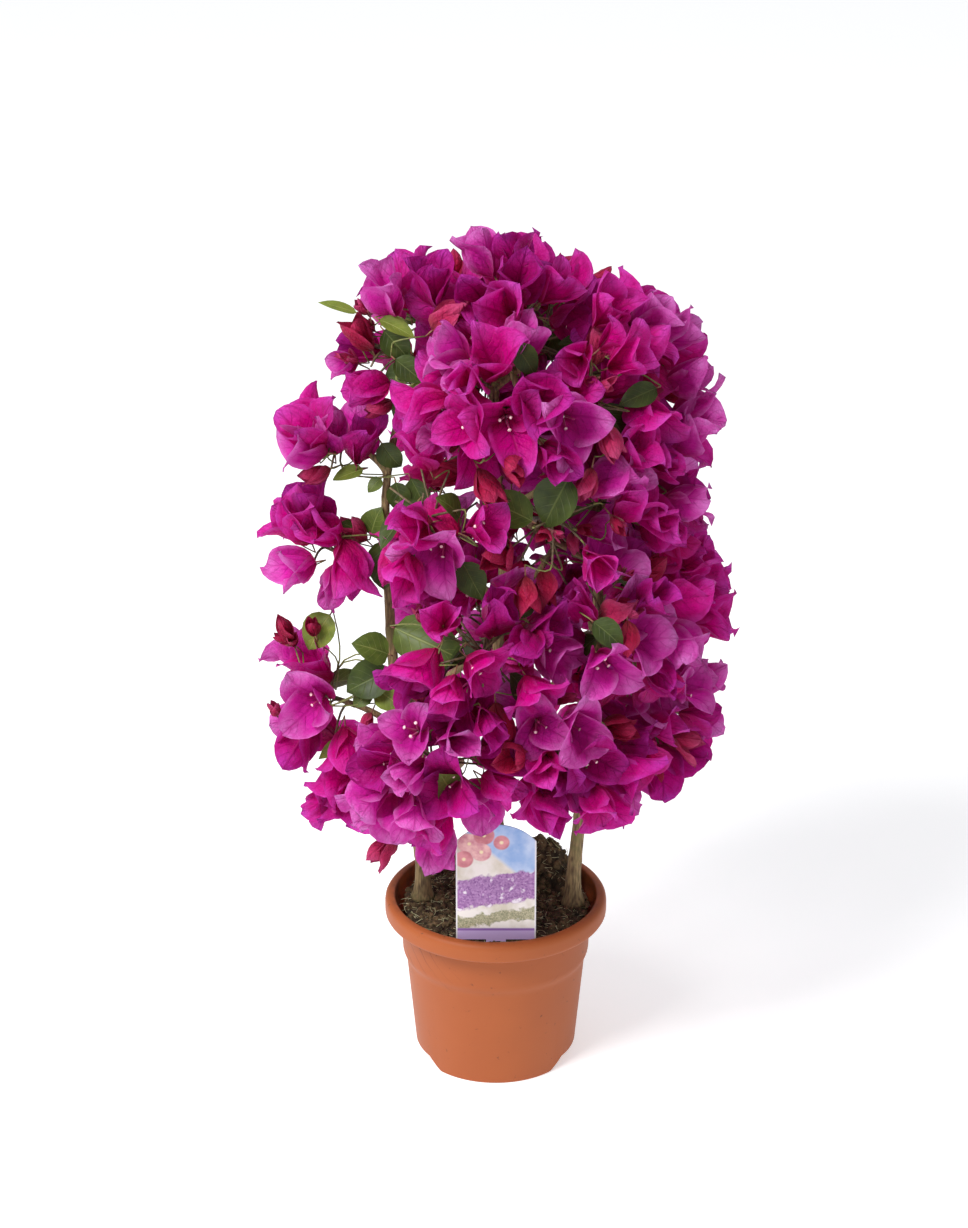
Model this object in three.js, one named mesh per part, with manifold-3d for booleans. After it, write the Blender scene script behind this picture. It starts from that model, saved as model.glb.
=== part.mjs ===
// Bougainvillea in a plastic pot, trained upright: three woody stems rise from the compost, each
// bears side boughs, and each bough ends in one mass of twigs, green leaves and magenta bracts.
// A printed plant label stands in the compost at the front.
//
// Millimetres, +Z up, the front faces -Y. The origin is the middle of the pot's underside.
// Azimuths are degrees round the plant: 0 is the front (-Y), 90 the right (+X), 180 the back.

import * as THREE from "three";
import { mergeVertices } from "three/addons/utils/BufferGeometryUtils.js";
import Module from "manifold-3d";

const wasm = await Module();
wasm.setup();

// ---------------------------------------------------------------- driving dimensions

const GAP = 0.3; // clearance between neighbouring pieces

const POT = {
  height: 134,
  footRadius: 61, // outside of the body at the ground
  bodyRadius: 68.8, // outside of the body under the collar
  collarBottom: 86,
  collarRadius: 71.6,
  collarSpread: 1, // the collar's own taper
  lipBottom: 118.5,
  lipRadius: 85,
  lipInner: 77.3,
  wall: 1.8,
  floor: 2.5,
  sides: 36,
};

// A shallow arch is pressed into the foot of the pot on the left and on the right.
const ARCH = { from: 40.5, height: 9, halfWidth: 45, slope: 10 };
const DRAIN = { ring: 29, radius: 4, count: 5, sides: 10 };

const COMPOST = { top: 128.3, edgeTop: 126.3, plateau: 60 };
// A heap of compost behind the label, to the right.
const HEAP = { x: 34, y: 28, z: 121, width: 27.3, depth: 21, rise: 44 };

const LABEL = {
  width: 60,
  bottom: 128.8,
  shoulder: 212, // where the arched top begins
  top: 226,
  thickness: 0.8,
  setBack: 65, // distance of its face in front of the pot's axis
  spikeWidth: 15,
  spikeTip: 97,
};

const STEM = { footRadius: 5.4, tipRadius: 2.4, flare: 3.2, flareHeight: 14, sides: 8, steps: 14 };

// Each stem leaves the compost near one side of the pot, spreads a little and turns in at the top.
const STEMS = [
  { name: "left", azimuth: 268, foot: 56, belly: 80, tip: 66, tipHeight: 548 },
  { name: "right", azimuth: 83, foot: 60, belly: 76, tip: 52, tipHeight: 556 },
  { name: "back", azimuth: 178, foot: 44, belly: 66, tip: 30, tipHeight: 566 },
];

// A bough climbs by a share of its run, at least by leastClimb, and more with every try.
const BOUGH = { rootRadius: 2.9, tipRadius: 2.2, sides: 5, steps: 5, bend: 0.5 };
const CLIMB = { share: 0.75, least: 14, perTry: 7, tries: 9 };

// The crown is built of round masses. Each tier is a ring of them: height of the ring, distance
// of the masses' middles from the axis, and how far a mass reaches from its own middle.
const TIERS = [
  { name: "skirt", height: 302, ring: 106, reach: 77 },
  { name: "waist", height: 388, ring: 106, reach: 76 },
  { name: "breast", height: 478, ring: 93, reach: 75 },
  { name: "shoulder", height: 559, ring: 84, reach: 74 },
];
const COLUMNS = [
  { name: "front_left", azimuth: 346 },
  { name: "front_right", azimuth: 34 },
  { name: "right", azimuth: 88 },
  { name: "back_right", azimuth: 145 },
  { name: "back_left", azimuth: 196 },
];
const STAGGER = 11; // degrees that the tiers turn to and fro, so that no seam runs up the crown
// The left side is looser: separate shoots stand out from the crown with open gaps between them.
const LEFT_AZIMUTH = 269;
const LEFT_SHOOTS = [
  { name: "left_foot", height: 236, ring: 100, reach: 50 },
  { name: "left_low", height: 302, ring: 124, reach: 53 },
  { name: "left_middle", height: 417, ring: 122, reach: 50 },
  { name: "left_high", height: 511, ring: 120, reach: 48 },
  { name: "left_shoulder", height: 572, ring: 68, reach: 60 },
];
const TOP = { name: "top", height: 588, ring: 12, reach: 67, azimuth: 90 };
// Masses that hang lower or stand higher than their tier, in millimetres.
const LIFTS = { skirt_front_left: -8, skirt_right: -6, skirt_front_right: 6 };
const JITTER = { azimuth: 4, height: 5, reach: 2 };

// A bough meets its mass short of the middle, on the inner side and a little below.
const ENTRY = { inner: 0.34, below: 0.14 };
// A mass is one shoot with side twigs. Sizes with "Share" are shares of a mass's reach.
const SHOOT = { rootRadius: 2.4, tipRadius: 2, sides: 5, overrun: 0.22 };
const TWIG = { rootRadius: 1.4, tipRadius: 1.3, collar: 3 };
const BLOOM = {
  places: 20, // on the whole of a mass of full reach; those that face other masses stay empty
  tipShare: 0.5,
  lengthShare: 0.62,
  widthShare: 0.56,
  widest: 0.52,
  opening: 45, // degrees between a bract and its twig
  cup: 7,
};
const LEAF = {
  places: 3,
  tipShare: 0.34,
  lengthShare: 0.6,
  widthShare: 0.4,
  widest: 0.4,
  opening: 60,
  cup: 3,
};
const FULL_REACH = 76;
const SIZES_TRIED = [1.15, 1, 0.8, 0.65]; // a blade that doesn't fit is made smaller
const TWISTS_TRIED = 6;
const INWARD_LIMIT = -0.35; // nothing faces further than this towards the crown's middle
const LIMB_CLEARANCE = 1;
const SLIVER = 0.1; // details finer than this are dropped where pieces are joined
const CROWN_SEED = 41;

const COLOURS = {
  pot: 0xc2714a,
  compost: 0x33271f,
  bark: 0x8a7150,
  foliage: 0xb8128a,
  label: 0xe9dfea,
};

// ---------------------------------------------------------------- small helpers

const degrees = THREE.MathUtils.degToRad;
const mix = THREE.MathUtils.lerp;
const UP = new THREE.Vector3(0, 0, 1);

// A small seeded generator (mulberry32), so that the same plant grows every time.
function seeded(seed) {
  let state = seed >>> 0;
  return () => {
    state = (state + 0x6d2b79f5) >>> 0;
    let t = Math.imul(state ^ (state >>> 15), state | 1);
    t ^= t + Math.imul(t ^ (t >>> 7), t | 61);
    return ((t ^ (t >>> 14)) >>> 0) / 4294967296;
  };
}

function around(random, spread) {
  return (2 * random() - 1) * spread;
}

function polar(azimuth, radius, height) {
  const a = degrees(azimuth);
  return new THREE.Vector3(radius * Math.sin(a), -radius * Math.cos(a), height);
}

function solidOf(geometry) {
  const bare = geometry.clone();
  bare.deleteAttribute("normal");
  bare.deleteAttribute("uv");
  const merged = mergeVertices(bare, 1e-4);
  return new wasm.Manifold(
    new wasm.Mesh({
      numProp: 3,
      vertProperties: merged.attributes.position.array,
      triVerts: new Uint32Array(merged.index.array),
    }),
  );
}

function geometryOf(solid) {
  const mesh = solid.getMesh();
  const geometry = new THREE.BufferGeometry();
  geometry.setAttribute("position", new THREE.BufferAttribute(mesh.vertProperties, 3));
  geometry.setIndex(new THREE.BufferAttribute(mesh.triVerts, 1));
  geometry.computeVertexNormals();
  return geometry;
}

// The largest body of a solid, without loose scraps or sealed hollows.
function mainBody(solid) {
  return solid.decompose().reduce((a, b) => (b.volume() > a.volume() ? b : a));
}

function lathe(profile, sides) {
  const points = profile.map(([radius, height]) => new THREE.Vector2(radius, height));
  return new THREE.LatheGeometry(points, sides).rotateX(Math.PI / 2);
}

// A closed tube along a curve, its radius given by a function of the share of the way along.
function taperedTube(curve, radiusAt, sides, steps) {
  const frames = curve.computeFrenetFrames(steps, false);
  const positions = [];
  const index = [];
  for (let i = 0; i <= steps; i++) {
    const centre = curve.getPointAt(i / steps);
    const radius = radiusAt(i / steps);
    for (let k = 0; k < sides; k++) {
      const a = (2 * Math.PI * k) / sides;
      const spoke = frames.normals[i].clone().multiplyScalar(Math.cos(a));
      spoke.addScaledVector(frames.binormals[i], Math.sin(a));
      positions.push(...centre.clone().addScaledVector(spoke, radius));
    }
  }
  for (let i = 0; i < steps; i++) {
    for (let k = 0; k < sides; k++) {
      const a = i * sides + k;
      const b = i * sides + ((k + 1) % sides);
      index.push(a, b, b + sides, a, b + sides, a + sides);
    }
  }
  const last = steps * sides;
  for (let k = 1; k < sides - 1; k++) {
    index.push(0, k + 1, k, last, last + k, last + k + 1);
  }
  const geometry = new THREE.BufferGeometry();
  geometry.setAttribute("position", new THREE.Float32BufferAttribute(positions, 3));
  geometry.setIndex(index);
  return geometry;
}

// ---------------------------------------------------------------- pot, compost and label

function innerRadius(height) {
  const bottom = POT.footRadius - POT.wall;
  const neck = POT.bodyRadius - POT.wall;
  if (height <= POT.collarBottom) {
    return mix(bottom, neck, height / POT.collarBottom);
  }
  const collar = POT.collarRadius - POT.wall;
  const share = (height - POT.collarBottom) / (POT.lipBottom - POT.collarBottom);
  return mix(neck, collar, share);
}

// The pot as if it were solid, and the hollow that is taken out of it.
function potOutside() {
  const p = POT;
  const profile = [
    [0, 0],
    [p.footRadius, 0],
    [p.bodyRadius, p.collarBottom - 1.5],
    [p.collarRadius, p.collarBottom + 1],
    [p.collarRadius + p.collarSpread, p.lipBottom],
    [p.lipRadius - 1.6, p.lipBottom],
    [p.lipRadius, p.lipBottom + 2],
    [p.lipRadius, p.height - 6],
    [p.lipRadius - 1, p.height - 2],
    [p.lipRadius - 3.4, p.height],
    [0, p.height],
  ];
  return solidOf(lathe(profile, p.sides));
}

function potHollow() {
  const p = POT;
  const profile = [
    [0, p.floor],
    [innerRadius(p.floor), p.floor],
    [innerRadius(p.collarBottom), p.collarBottom],
    [innerRadius(p.lipBottom), p.lipBottom],
    [p.collarRadius, p.height - 12],
    [p.lipInner, p.height - 1.2],
    [p.lipInner + 1.2, p.height + 1],
    [0, p.height + 1],
  ];
  return solidOf(lathe(profile, p.sides));
}

// The space of both arches in the foot, grown all round.
function archSpace(grow) {
  const low = ARCH.halfWidth + grow;
  const high = ARCH.halfWidth - ARCH.slope + grow;
  const shape = new THREE.Shape();
  shape.moveTo(-low, -1);
  shape.lineTo(low, -1);
  shape.lineTo(low, 0);
  shape.lineTo(high, ARCH.height + grow);
  shape.lineTo(-high, ARCH.height + grow);
  shape.lineTo(-low, 0);
  shape.closePath();
  const depth = POT.footRadius;
  const right = new THREE.ExtrudeGeometry(shape, { depth, bevelEnabled: false });
  right.rotateX(Math.PI / 2).rotateZ(Math.PI / 2).translate(ARCH.from - grow, 0, 0);
  const left = right.clone().rotateZ(Math.PI);
  return solidOf(right).add(solidOf(left));
}

function drainHole(i) {
  const hole = new THREE.CylinderGeometry(DRAIN.radius, DRAIN.radius, 3 * POT.floor, DRAIN.sides);
  const at = polar((360 * (i + 0.5)) / DRAIN.count, DRAIN.ring, POT.floor / 2);
  return solidOf(hole.rotateX(Math.PI / 2).translate(at.x, at.y, at.z));
}

function makePot() {
  const outside = potOutside();
  const shelves = outside.intersect(archSpace(POT.wall));
  let pot = outside.subtract(potHollow()).add(shelves).subtract(archSpace(0));
  for (let i = 0; i < DRAIN.count; i++) {
    pot = pot.subtract(drainHole(i));
  }
  return pot;
}

function labelShape(grow) {
  const half = LABEL.width / 2;
  const spike = LABEL.spikeWidth / 2 + grow;
  const rise = LABEL.top - LABEL.shoulder;
  const radius = (half * half + rise * rise) / (2 * rise);
  const sweep = Math.asin(half / radius);
  const shape = new THREE.Shape();
  shape.moveTo(0, LABEL.spikeTip - grow);
  shape.lineTo(spike, LABEL.spikeTip + spike);
  shape.lineTo(spike, LABEL.bottom);
  shape.lineTo(half, LABEL.bottom);
  shape.lineTo(half, LABEL.shoulder);
  shape.absarc(0, LABEL.top - radius, radius, Math.PI / 2 - sweep, Math.PI / 2 + sweep, false);
  shape.lineTo(-half, LABEL.bottom);
  shape.lineTo(-spike, LABEL.bottom);
  shape.lineTo(-spike, LABEL.spikeTip + spike);
  shape.closePath();
  return shape;
}

function makeLabel(grow = 0) {
  const plate = new THREE.ExtrudeGeometry(labelShape(grow), {
    depth: LABEL.thickness + 2 * grow,
    bevelEnabled: false,
    curveSegments: 10,
  });
  plate.rotateX(Math.PI / 2).translate(0, -LABEL.setBack + LABEL.thickness + grow, 0);
  return solidOf(plate);
}

function makeCompost() {
  const bottom = POT.floor + GAP;
  const profile = [
    [0, bottom],
    [innerRadius(bottom) - GAP, bottom],
    [innerRadius(POT.collarBottom) - GAP, POT.collarBottom],
    [innerRadius(POT.lipBottom) - GAP, POT.lipBottom],
    [innerRadius(POT.lipBottom), COMPOST.edgeTop],
    [COMPOST.plateau, COMPOST.top],
    [0, COMPOST.top],
  ];
  const heap = new THREE.IcosahedronGeometry(1, 2).scale(HEAP.width, HEAP.depth, HEAP.rise);
  const bed = solidOf(lathe(profile, POT.sides)).subtract(archSpace(POT.wall + GAP));
  return bed.add(solidOf(heap.translate(HEAP.x, HEAP.y, HEAP.z))).subtract(makeLabel(GAP));
}

// ---------------------------------------------------------------- stems, masses and boughs

function stemCurve(stem) {
  const foot = COMPOST.top + GAP;
  const at = (share, radius, turn) =>
    polar(stem.azimuth + turn, radius, mix(foot, stem.tipHeight, share));
  return new THREE.CatmullRomCurve3([
    at(0, stem.foot, 0),
    at(0.06, stem.foot, 0),
    at(0.3, mix(stem.foot, stem.belly, 0.6), 3),
    at(0.6, stem.belly, -3),
    at(0.82, stem.belly, 2),
    at(1, stem.tip, 4),
  ]);
}

function stemRadius(share, length) {
  const flare = STEM.flare * Math.exp((-share * length) / STEM.flareHeight);
  return mix(STEM.footRadius, STEM.tipRadius, share) + flare;
}

// One stem. Its lowest ring is level, so that it stands flat on the compost.
function makeStem(curve, grow) {
  const length = curve.getLength();
  const radiusAt = (t) => stemRadius(t, length) + grow;
  return taperedTube(curve, radiusAt, STEM.sides, STEM.steps);
}

function crownMasses() {
  const random = seeded(CROWN_SEED);
  const places = [];
  TIERS.forEach((tier, i) => {
    for (const column of COLUMNS) {
      const azimuth = column.azimuth + STAGGER * (i % 2 ? 1 : -1);
      places.push({ ...tier, name: tier.name + "_" + column.name, azimuth });
    }
  });
  for (const shoot of LEFT_SHOOTS) {
    places.push({ ...shoot, azimuth: LEFT_AZIMUTH });
  }
  places.push(TOP);
  return places.map(({ name, height, ring, reach, azimuth }) => {
    const turned = azimuth + around(random, JITTER.azimuth);
    const lifted = height + around(random, JITTER.height) + (LIFTS[name] ?? 0);
    const own = reach + around(random, JITTER.reach);
    return { name, centre: polar(turned, ring, lifted), reach: own };
  });
}

function horizontal(v) {
  return new THREE.Vector3(v.x, v.y, 0);
}

// The way a mass faces: outwards from the axis, and up for the top one.
function facing(mass) {
  const out = horizontal(mass.centre);
  return mass.name === TOP.name ? UP.clone() : out.normalize();
}

function entryOf(mass) {
  const inward = facing(mass).multiplyScalar(-ENTRY.inner * mass.reach);
  return mass.centre.clone().add(inward).addScaledVector(UP, -ENTRY.below * mass.reach);
}

function nearestStem(point) {
  const gap = (stem) => {
    const at = polar(stem.azimuth, mix(stem.foot, stem.belly, 0.8), point.z);
    return at.distanceTo(point);
  };
  return STEMS.reduce((a, b) => (gap(b) < gap(a) ? b : a));
}

function pointAtHeight(curve, height) {
  let low = 0;
  let high = 1;
  for (let i = 0; i < 30; i++) {
    const middle = (low + high) / 2;
    if (curve.getPointAt(middle).z < height) {
      low = middle;
    } else {
      high = middle;
    }
  }
  return curve.getPointAt(low);
}

// One bough leaves its stem below the mass and bends until it points at the mass's middle. Each
// further try leaves the stem a little lower.
function boughCurve(mass, stemPath, attempt) {
  const entry = entryOf(mass);
  const level = pointAtHeight(stemPath, entry.z);
  const run = horizontal(entry).distanceTo(horizontal(level));
  const drop = Math.max(CLIMB.share * run, CLIMB.least) + CLIMB.perTry * attempt;
  const root = pointAtHeight(stemPath, entry.z - drop);
  const towards = mass.centre.clone().sub(entry).normalize();
  const bend = entry.clone().addScaledVector(towards, -BOUGH.bend * root.distanceTo(entry));
  return new THREE.QuadraticBezierCurve3(root, bend, entry);
}

function makeBough(curve, grow) {
  const radiusAt = (t) => mix(BOUGH.rootRadius, BOUGH.tipRadius, t) + grow;
  return taperedTube(curve, radiusAt, BOUGH.sides, BOUGH.steps);
}

// The first try at a bough that runs clear of every limb but the stem that bears it.
function fitBough(mass, stemPath, others) {
  const socket = solidOf(makeStem(stemPath, GAP));
  for (let attempt = 0; attempt < CLIMB.tries; attempt++) {
    const curve = boughCurve(mass, stemPath, attempt);
    const reserved = solidOf(makeBough(curve, GAP)).subtract(socket);
    if (others.every((other) => other.intersect(reserved).isEmpty())) {
      return { curve, solid: mainBody(solidOf(makeBough(curve, 0)).subtract(socket)) };
    }
  }
  throw new Error("no room for the bough of " + mass.name);
}

// ---------------------------------------------------------------- foliage

// Power distance: negative inside a mass, and equal for two masses on the wall between them.
function power(point, mass) {
  return point.distanceToSquared(mass.centre) - mass.reach * mass.reach;
}

// Whether a point is in a mass's own space, a full gap clear of the walls to its neighbours.
function ownsPoint(mass, masses, point) {
  return masses.every((other) => {
    const apart = other.centre.distanceTo(mass.centre);
    return other === mass || power(point, other) - power(point, mass) > 2 * apart * GAP;
  });
}

// Directions dealt evenly over a sphere by the golden angle.
function goldenDirection(i, count, turn) {
  const z = 1 - (2 * i + 1) / count;
  const flat = Math.sqrt(1 - z * z);
  const a = i * Math.PI * (3 - Math.sqrt(5)) + turn;
  return new THREE.Vector3(flat * Math.cos(a), flat * Math.sin(a), z);
}

// The blade over one side of a twig's tip, leaning out by the form's opening.
function bladeOver(axis, tip, spoke, form, scale) {
  const length = form.lengthShare * scale;
  const width = form.widthShare * scale;
  const opening = degrees(form.opening);
  const along = axis.clone().multiplyScalar(Math.cos(opening));
  along.addScaledVector(spoke, Math.sin(opening));
  const across = axis.clone().cross(spoke);
  const inward = along.clone().cross(across);
  const middle = tip.clone().addScaledVector(along, form.widest * length);
  middle.addScaledVector(inward, form.cup);
  return {
    left: middle.clone().addScaledVector(across, -width / 2),
    right: middle.clone().addScaledVector(across, width / 2),
    end: tip.clone().addScaledVector(along, length),
  };
}

// A three-sided twig from its root to its tip. A blade that is given for a side grows out of
// it: thick where it leaves the twig and thin at its edges.
function spray(root, tip, side, blades) {
  const axis = tip.clone().sub(root).normalize();
  const ring = (centre, radius) => {
    return [-1, 1, 3].map((k) => {
      const corner = side.clone().applyAxisAngle(axis, (k * Math.PI) / 3);
      return centre.clone().addScaledVector(corner, radius);
    });
  };
  const s = ring(root, TWIG.rootRadius);
  const q = ring(tip.clone().addScaledVector(axis, -TWIG.collar), TWIG.tipRadius);
  const p = ring(tip, TWIG.tipRadius);
  const faces = [[p[0], p[1], p[2]], [s[2], s[1], s[0]]];
  blades.forEach((blade, k) => {
    const n = (k + 1) % 3;
    faces.push([s[k], s[n], q[n]], [s[k], q[n], q[k]]);
    if (!blade) {
      faces.push([q[k], q[n], p[n]], [q[k], p[n], p[k]]);
      return;
    }
    const { left, right, end } = blade;
    faces.push([q[k], q[n], end], [q[n], right, end], [q[k], end, left]);
    faces.push([p[n], p[k], end], [p[k], left, end], [p[n], end, right]);
    faces.push([q[n], p[n], right], [p[k], q[k], left]);
  });
  return solidOf(new THREE.BufferGeometry().setFromPoints(faces.flat()));
}

// One spray in the best of a few twists: the one that keeps most blade. A blade has to stay in
// the mass's own space, and clear of the obstacles: the limbs and the mass's other sprays.
function fitSpray(mass, crown, obstacles, root, tip, form, random) {
  const axis = tip.clone().sub(root).normalize();
  const sideways = new THREE.Vector3(1, 0.3, 0.2).cross(axis).normalize();
  const first = random();
  const isClear = (solid) => obstacles.every((other) => solid.intersect(other).isEmpty());
  if (!isClear(spray(root, tip, sideways, [null, null, null]))) {
    return null;
  }
  let best = { kept: 0, solid: null };
  for (let twist = 0; twist < TWISTS_TRIED; twist++) {
    const turn = (2 * Math.PI * (twist + first)) / (3 * TWISTS_TRIED);
    const side = sideways.clone().applyAxisAngle(axis, turn);
    let kept = 0;
    const blades = [0, 1, 2].map((k) => {
      const spoke = side.clone().applyAxisAngle(axis, (2 * Math.PI * k) / 3);
      for (const size of SIZES_TRIED) {
        const blade = bladeOver(axis, tip, spoke, form, size * mass.reach);
        const home = Object.values(blade).every((corner) => ownsPoint(mass, crown.masses, corner));
        if (home && isClear(spray(root, tip, spoke, [blade, null, null]))) {
          kept += size * size;
          return blade;
        }
      }
      return null;
    });
    best = kept > best.kept ? { kept, solid: spray(root, tip, side, blades) } : best;
  }
  return best.solid;
}

// Where a mass's sprays end: places dealt evenly over it that face out of the crown.
function sprayPlaces(mass, crown, turn) {
  const out = facing(mass);
  const found = [];
  for (const form of [BLOOM, LEAF]) {
    const count = Math.round((form.places * mass.reach) / FULL_REACH);
    for (let i = 0; i < count; i++) {
      const direction = goldenDirection(i, count, turn + count);
      const tip = mass.centre.clone().addScaledVector(direction, form.tipShare * mass.reach);
      if (direction.dot(out) > INWARD_LIMIT && ownsPoint(mass, crown.masses, tip)) {
        found.push({ form, tip });
      }
    }
  }
  return found;
}

// One mass: a shoot from the bough's tip through the middle, and a spray from every knot on it.
function growMass(mass, crown, order) {
  const random = seeded(CROWN_SEED * 100 + order);
  const entry = entryOf(mass);
  const towards = mass.centre.clone().sub(entry).normalize();
  const start = entry.clone().addScaledVector(towards, GAP);
  const end = mass.centre.clone().addScaledVector(towards, SHOOT.overrun * mass.reach);
  const radiusAt = (t) => mix(SHOOT.rootRadius, SHOOT.tipRadius, t);
  const shoot = taperedTube(new THREE.LineCurve3(start, end), radiusAt, SHOOT.sides, 1);
  const sprays = [];
  const places = sprayPlaces(mass, crown, 2 * Math.PI * random());
  places.sort((a, b) => a.tip.dot(towards) - b.tip.dot(towards));
  places.forEach(({ form, tip }, i) => {
    const knot = start.clone().lerp(end, (i + 1) / (places.length + 0.6));
    const solid = fitSpray(mass, crown, [crown.limbs, ...sprays], knot, tip, form, random);
    if (solid) {
      sprays.push(solid);
    }
  });
  return mainBody(wasm.Manifold.union([solidOf(shoot), ...sprays])).simplify(SLIVER);
}

// ---------------------------------------------------------------- assembly

const plant = new THREE.Group();

function addPiece(name, solid, colour, roughness) {
  const material = new THREE.MeshStandardMaterial({ color: colour, roughness, metalness: 0 });
  const mesh = new THREE.Mesh(geometryOf(solid), material);
  mesh.name = name;
  plant.add(mesh);
}

addPiece("pot", makePot(), COLOURS.pot, 0.55);
addPiece("compost", makeCompost(), COLOURS.compost, 1);
addPiece("plant_label", makeLabel(), COLOURS.label, 0.4);

const stemPaths = new Map();
const reserved = [makeLabel(LIMB_CLEARANCE)];
const placed = [];
for (const stem of STEMS) {
  const curve = stemCurve(stem);
  const solid = solidOf(makeStem(curve, 0));
  stemPaths.set(stem, curve);
  reserved.push(solidOf(makeStem(curve, LIMB_CLEARANCE)));
  placed.push({ stem, solid });
  addPiece("stem_" + stem.name, solid, COLOURS.bark, 0.85);
}

const masses = crownMasses();
for (const mass of masses) {
  const stem = nearestStem(mass.centre);
  const others = placed.filter((limb) => limb.stem !== stem).map((limb) => limb.solid);
  const { curve, solid } = fitBough(mass, stemPaths.get(stem), others);
  reserved.push(solidOf(makeBough(curve, LIMB_CLEARANCE)));
  placed.push({ stem: null, solid });
  addPiece("bough_" + mass.name, solid, COLOURS.bark, 0.85);
}

const crown = { masses, limbs: wasm.Manifold.union(reserved) };
masses.forEach((mass, order) => {
  addPiece("foliage_" + mass.name, growMass(mass, crown, order), COLOURS.foliage, 0.7);
});

export default plant;
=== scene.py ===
"""A potted bougainvillea bush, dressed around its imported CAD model.

Metres, +Z up, the front faces -Y, the origin is the middle of the pot's underside. Azimuths are
degrees round the plant: 0 is the front, 90 the right (+X), 180 the back. The CAD holds the pot,
the stems, the boughs and one coarse mass of twigs and bracts at each bough's tip. Here every mass
grows on by the same rule to finer twigs, life-size bracts, leaves, buds and flowers.
"""

import math
from functools import partial

import bpy
import numpy as np
from mathutils import Matrix, Vector, noise


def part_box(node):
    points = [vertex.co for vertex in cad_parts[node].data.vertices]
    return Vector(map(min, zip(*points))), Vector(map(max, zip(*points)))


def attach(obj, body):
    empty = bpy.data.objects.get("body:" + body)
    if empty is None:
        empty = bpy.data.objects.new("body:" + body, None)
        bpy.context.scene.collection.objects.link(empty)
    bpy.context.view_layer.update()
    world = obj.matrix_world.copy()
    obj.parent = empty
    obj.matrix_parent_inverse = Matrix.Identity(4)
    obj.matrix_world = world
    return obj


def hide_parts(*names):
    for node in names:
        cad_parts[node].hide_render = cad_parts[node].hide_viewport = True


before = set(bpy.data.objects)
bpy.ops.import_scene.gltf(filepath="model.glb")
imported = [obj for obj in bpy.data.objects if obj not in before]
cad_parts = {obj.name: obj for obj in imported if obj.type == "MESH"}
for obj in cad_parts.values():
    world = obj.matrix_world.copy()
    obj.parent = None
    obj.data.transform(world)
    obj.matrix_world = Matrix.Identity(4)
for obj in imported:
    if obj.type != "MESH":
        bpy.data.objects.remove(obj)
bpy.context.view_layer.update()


# ------------------------------------------------------------------ camera, light and floor
# A camera at eye height looks down on the plant from a few steps away, in a white studio: a broad
# soft lamp at the upper left, a weaker one at the right, a bright surround and a pale paper floor.

CAMERA_AIM = Vector((-0.009, 0.0, 0.368))
CAMERA_DISTANCE = 2.629
CAMERA_PITCH = 24.2  # degrees, looking down
CAMERA_LENS = 131.9
SENSOR_WIDTH = 36.0
LAMPS = [
    {"name": "key", "azimuth": -46, "elevation": 46, "distance": 2.4, "size": 1.2, "power": 66},
    {"name": "fill", "azimuth": 50, "elevation": 35, "distance": 2.6, "size": 1.8, "power": 2},
]
SURROUND = {"colour": "#F6F8FC", "strength": 0.55}
FLOOR = {"half_side": 14.0, "colour": "#F8F8F8", "roughness": 0.9, "glow": 0.42}


def new_object(name, data):
    made = bpy.data.objects.new(name, data)
    bpy.context.scene.collection.objects.link(made)
    return made


def linear(hex_colour):
    """An sRGB hex colour as linear RGBA."""
    channels = [int(hex_colour[i : i + 2], 16) / 255 for i in (1, 3, 5)]
    curve = [c / 12.92 if c <= 0.04045 else ((c + 0.055) / 1.055) ** 2.4 for c in channels]
    return (*curve, 1.0)


def add_node(tree, kind, inputs=(), **settings):
    """One node. Settings are its attributes. Inputs are a list in the sockets' order, or go by name:
    each is a value, a socket to link, or a node whose first live output is linked."""
    made = tree.nodes.new(kind)
    for name, value in settings.items():
        setattr(made, name, value)
    live = [socket for socket in made.inputs if socket.enabled]
    for place, value in inputs.items() if isinstance(inputs, dict) else enumerate(inputs):
        socket = next(s for s in live if s.name == place) if isinstance(place, str) else live[place]
        if isinstance(value, bpy.types.Node):
            value = next(output for output in value.outputs if output.enabled)
        if isinstance(value, bpy.types.NodeSocket):
            tree.links.new(value, socket)
        else:
            socket.default_value = value
    return made


def new_material(name):
    """An empty material, and the function that adds nodes to it."""
    material = bpy.data.materials.new(name)
    material.use_nodes = True
    material.node_tree.nodes.clear()
    return material, partial(add_node, material.node_tree)


def white_paper():
    """Seamless white background paper: matt, and lit so evenly that it hardly shows a fold."""
    material, add = new_material("white_paper_floor")
    shader = add(
        "ShaderNodeBsdfPrincipled",
        {
            "Base Color": linear(FLOOR["colour"]),
            "Roughness": FLOOR["roughness"],
            "Emission Color": linear("#FFFFFF"),
            "Emission Strength": FLOOR["glow"],
        },
    )
    add("ShaderNodeOutputMaterial", [shader])
    return material


def add_camera():
    data = bpy.data.cameras.new("camera")
    data.sensor_fit = "HORIZONTAL"
    data.sensor_width = SENSOR_WIDTH
    data.lens = CAMERA_LENS
    camera = new_object("camera", data)
    pitch = math.radians(CAMERA_PITCH)
    camera.location = CAMERA_AIM + CAMERA_DISTANCE * Vector((0, -math.cos(pitch), math.sin(pitch)))
    camera.rotation_euler = (math.pi / 2 - pitch, 0, 0)
    bpy.context.scene.camera = camera


def add_lamp(name, azimuth, elevation, distance, size, power):
    data = bpy.data.lights.new(name, "AREA")
    data.shape = "DISK"
    data.size = size
    data.energy = power
    lamp = new_object(name, data)
    a, e = math.radians(azimuth), math.radians(elevation)
    way = Vector((math.sin(a) * math.cos(e), -math.cos(a) * math.cos(e), math.sin(e)))
    lamp.location = CAMERA_AIM + distance * way
    lamp.rotation_euler = way.to_track_quat("Z", "Y").to_euler()


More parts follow.
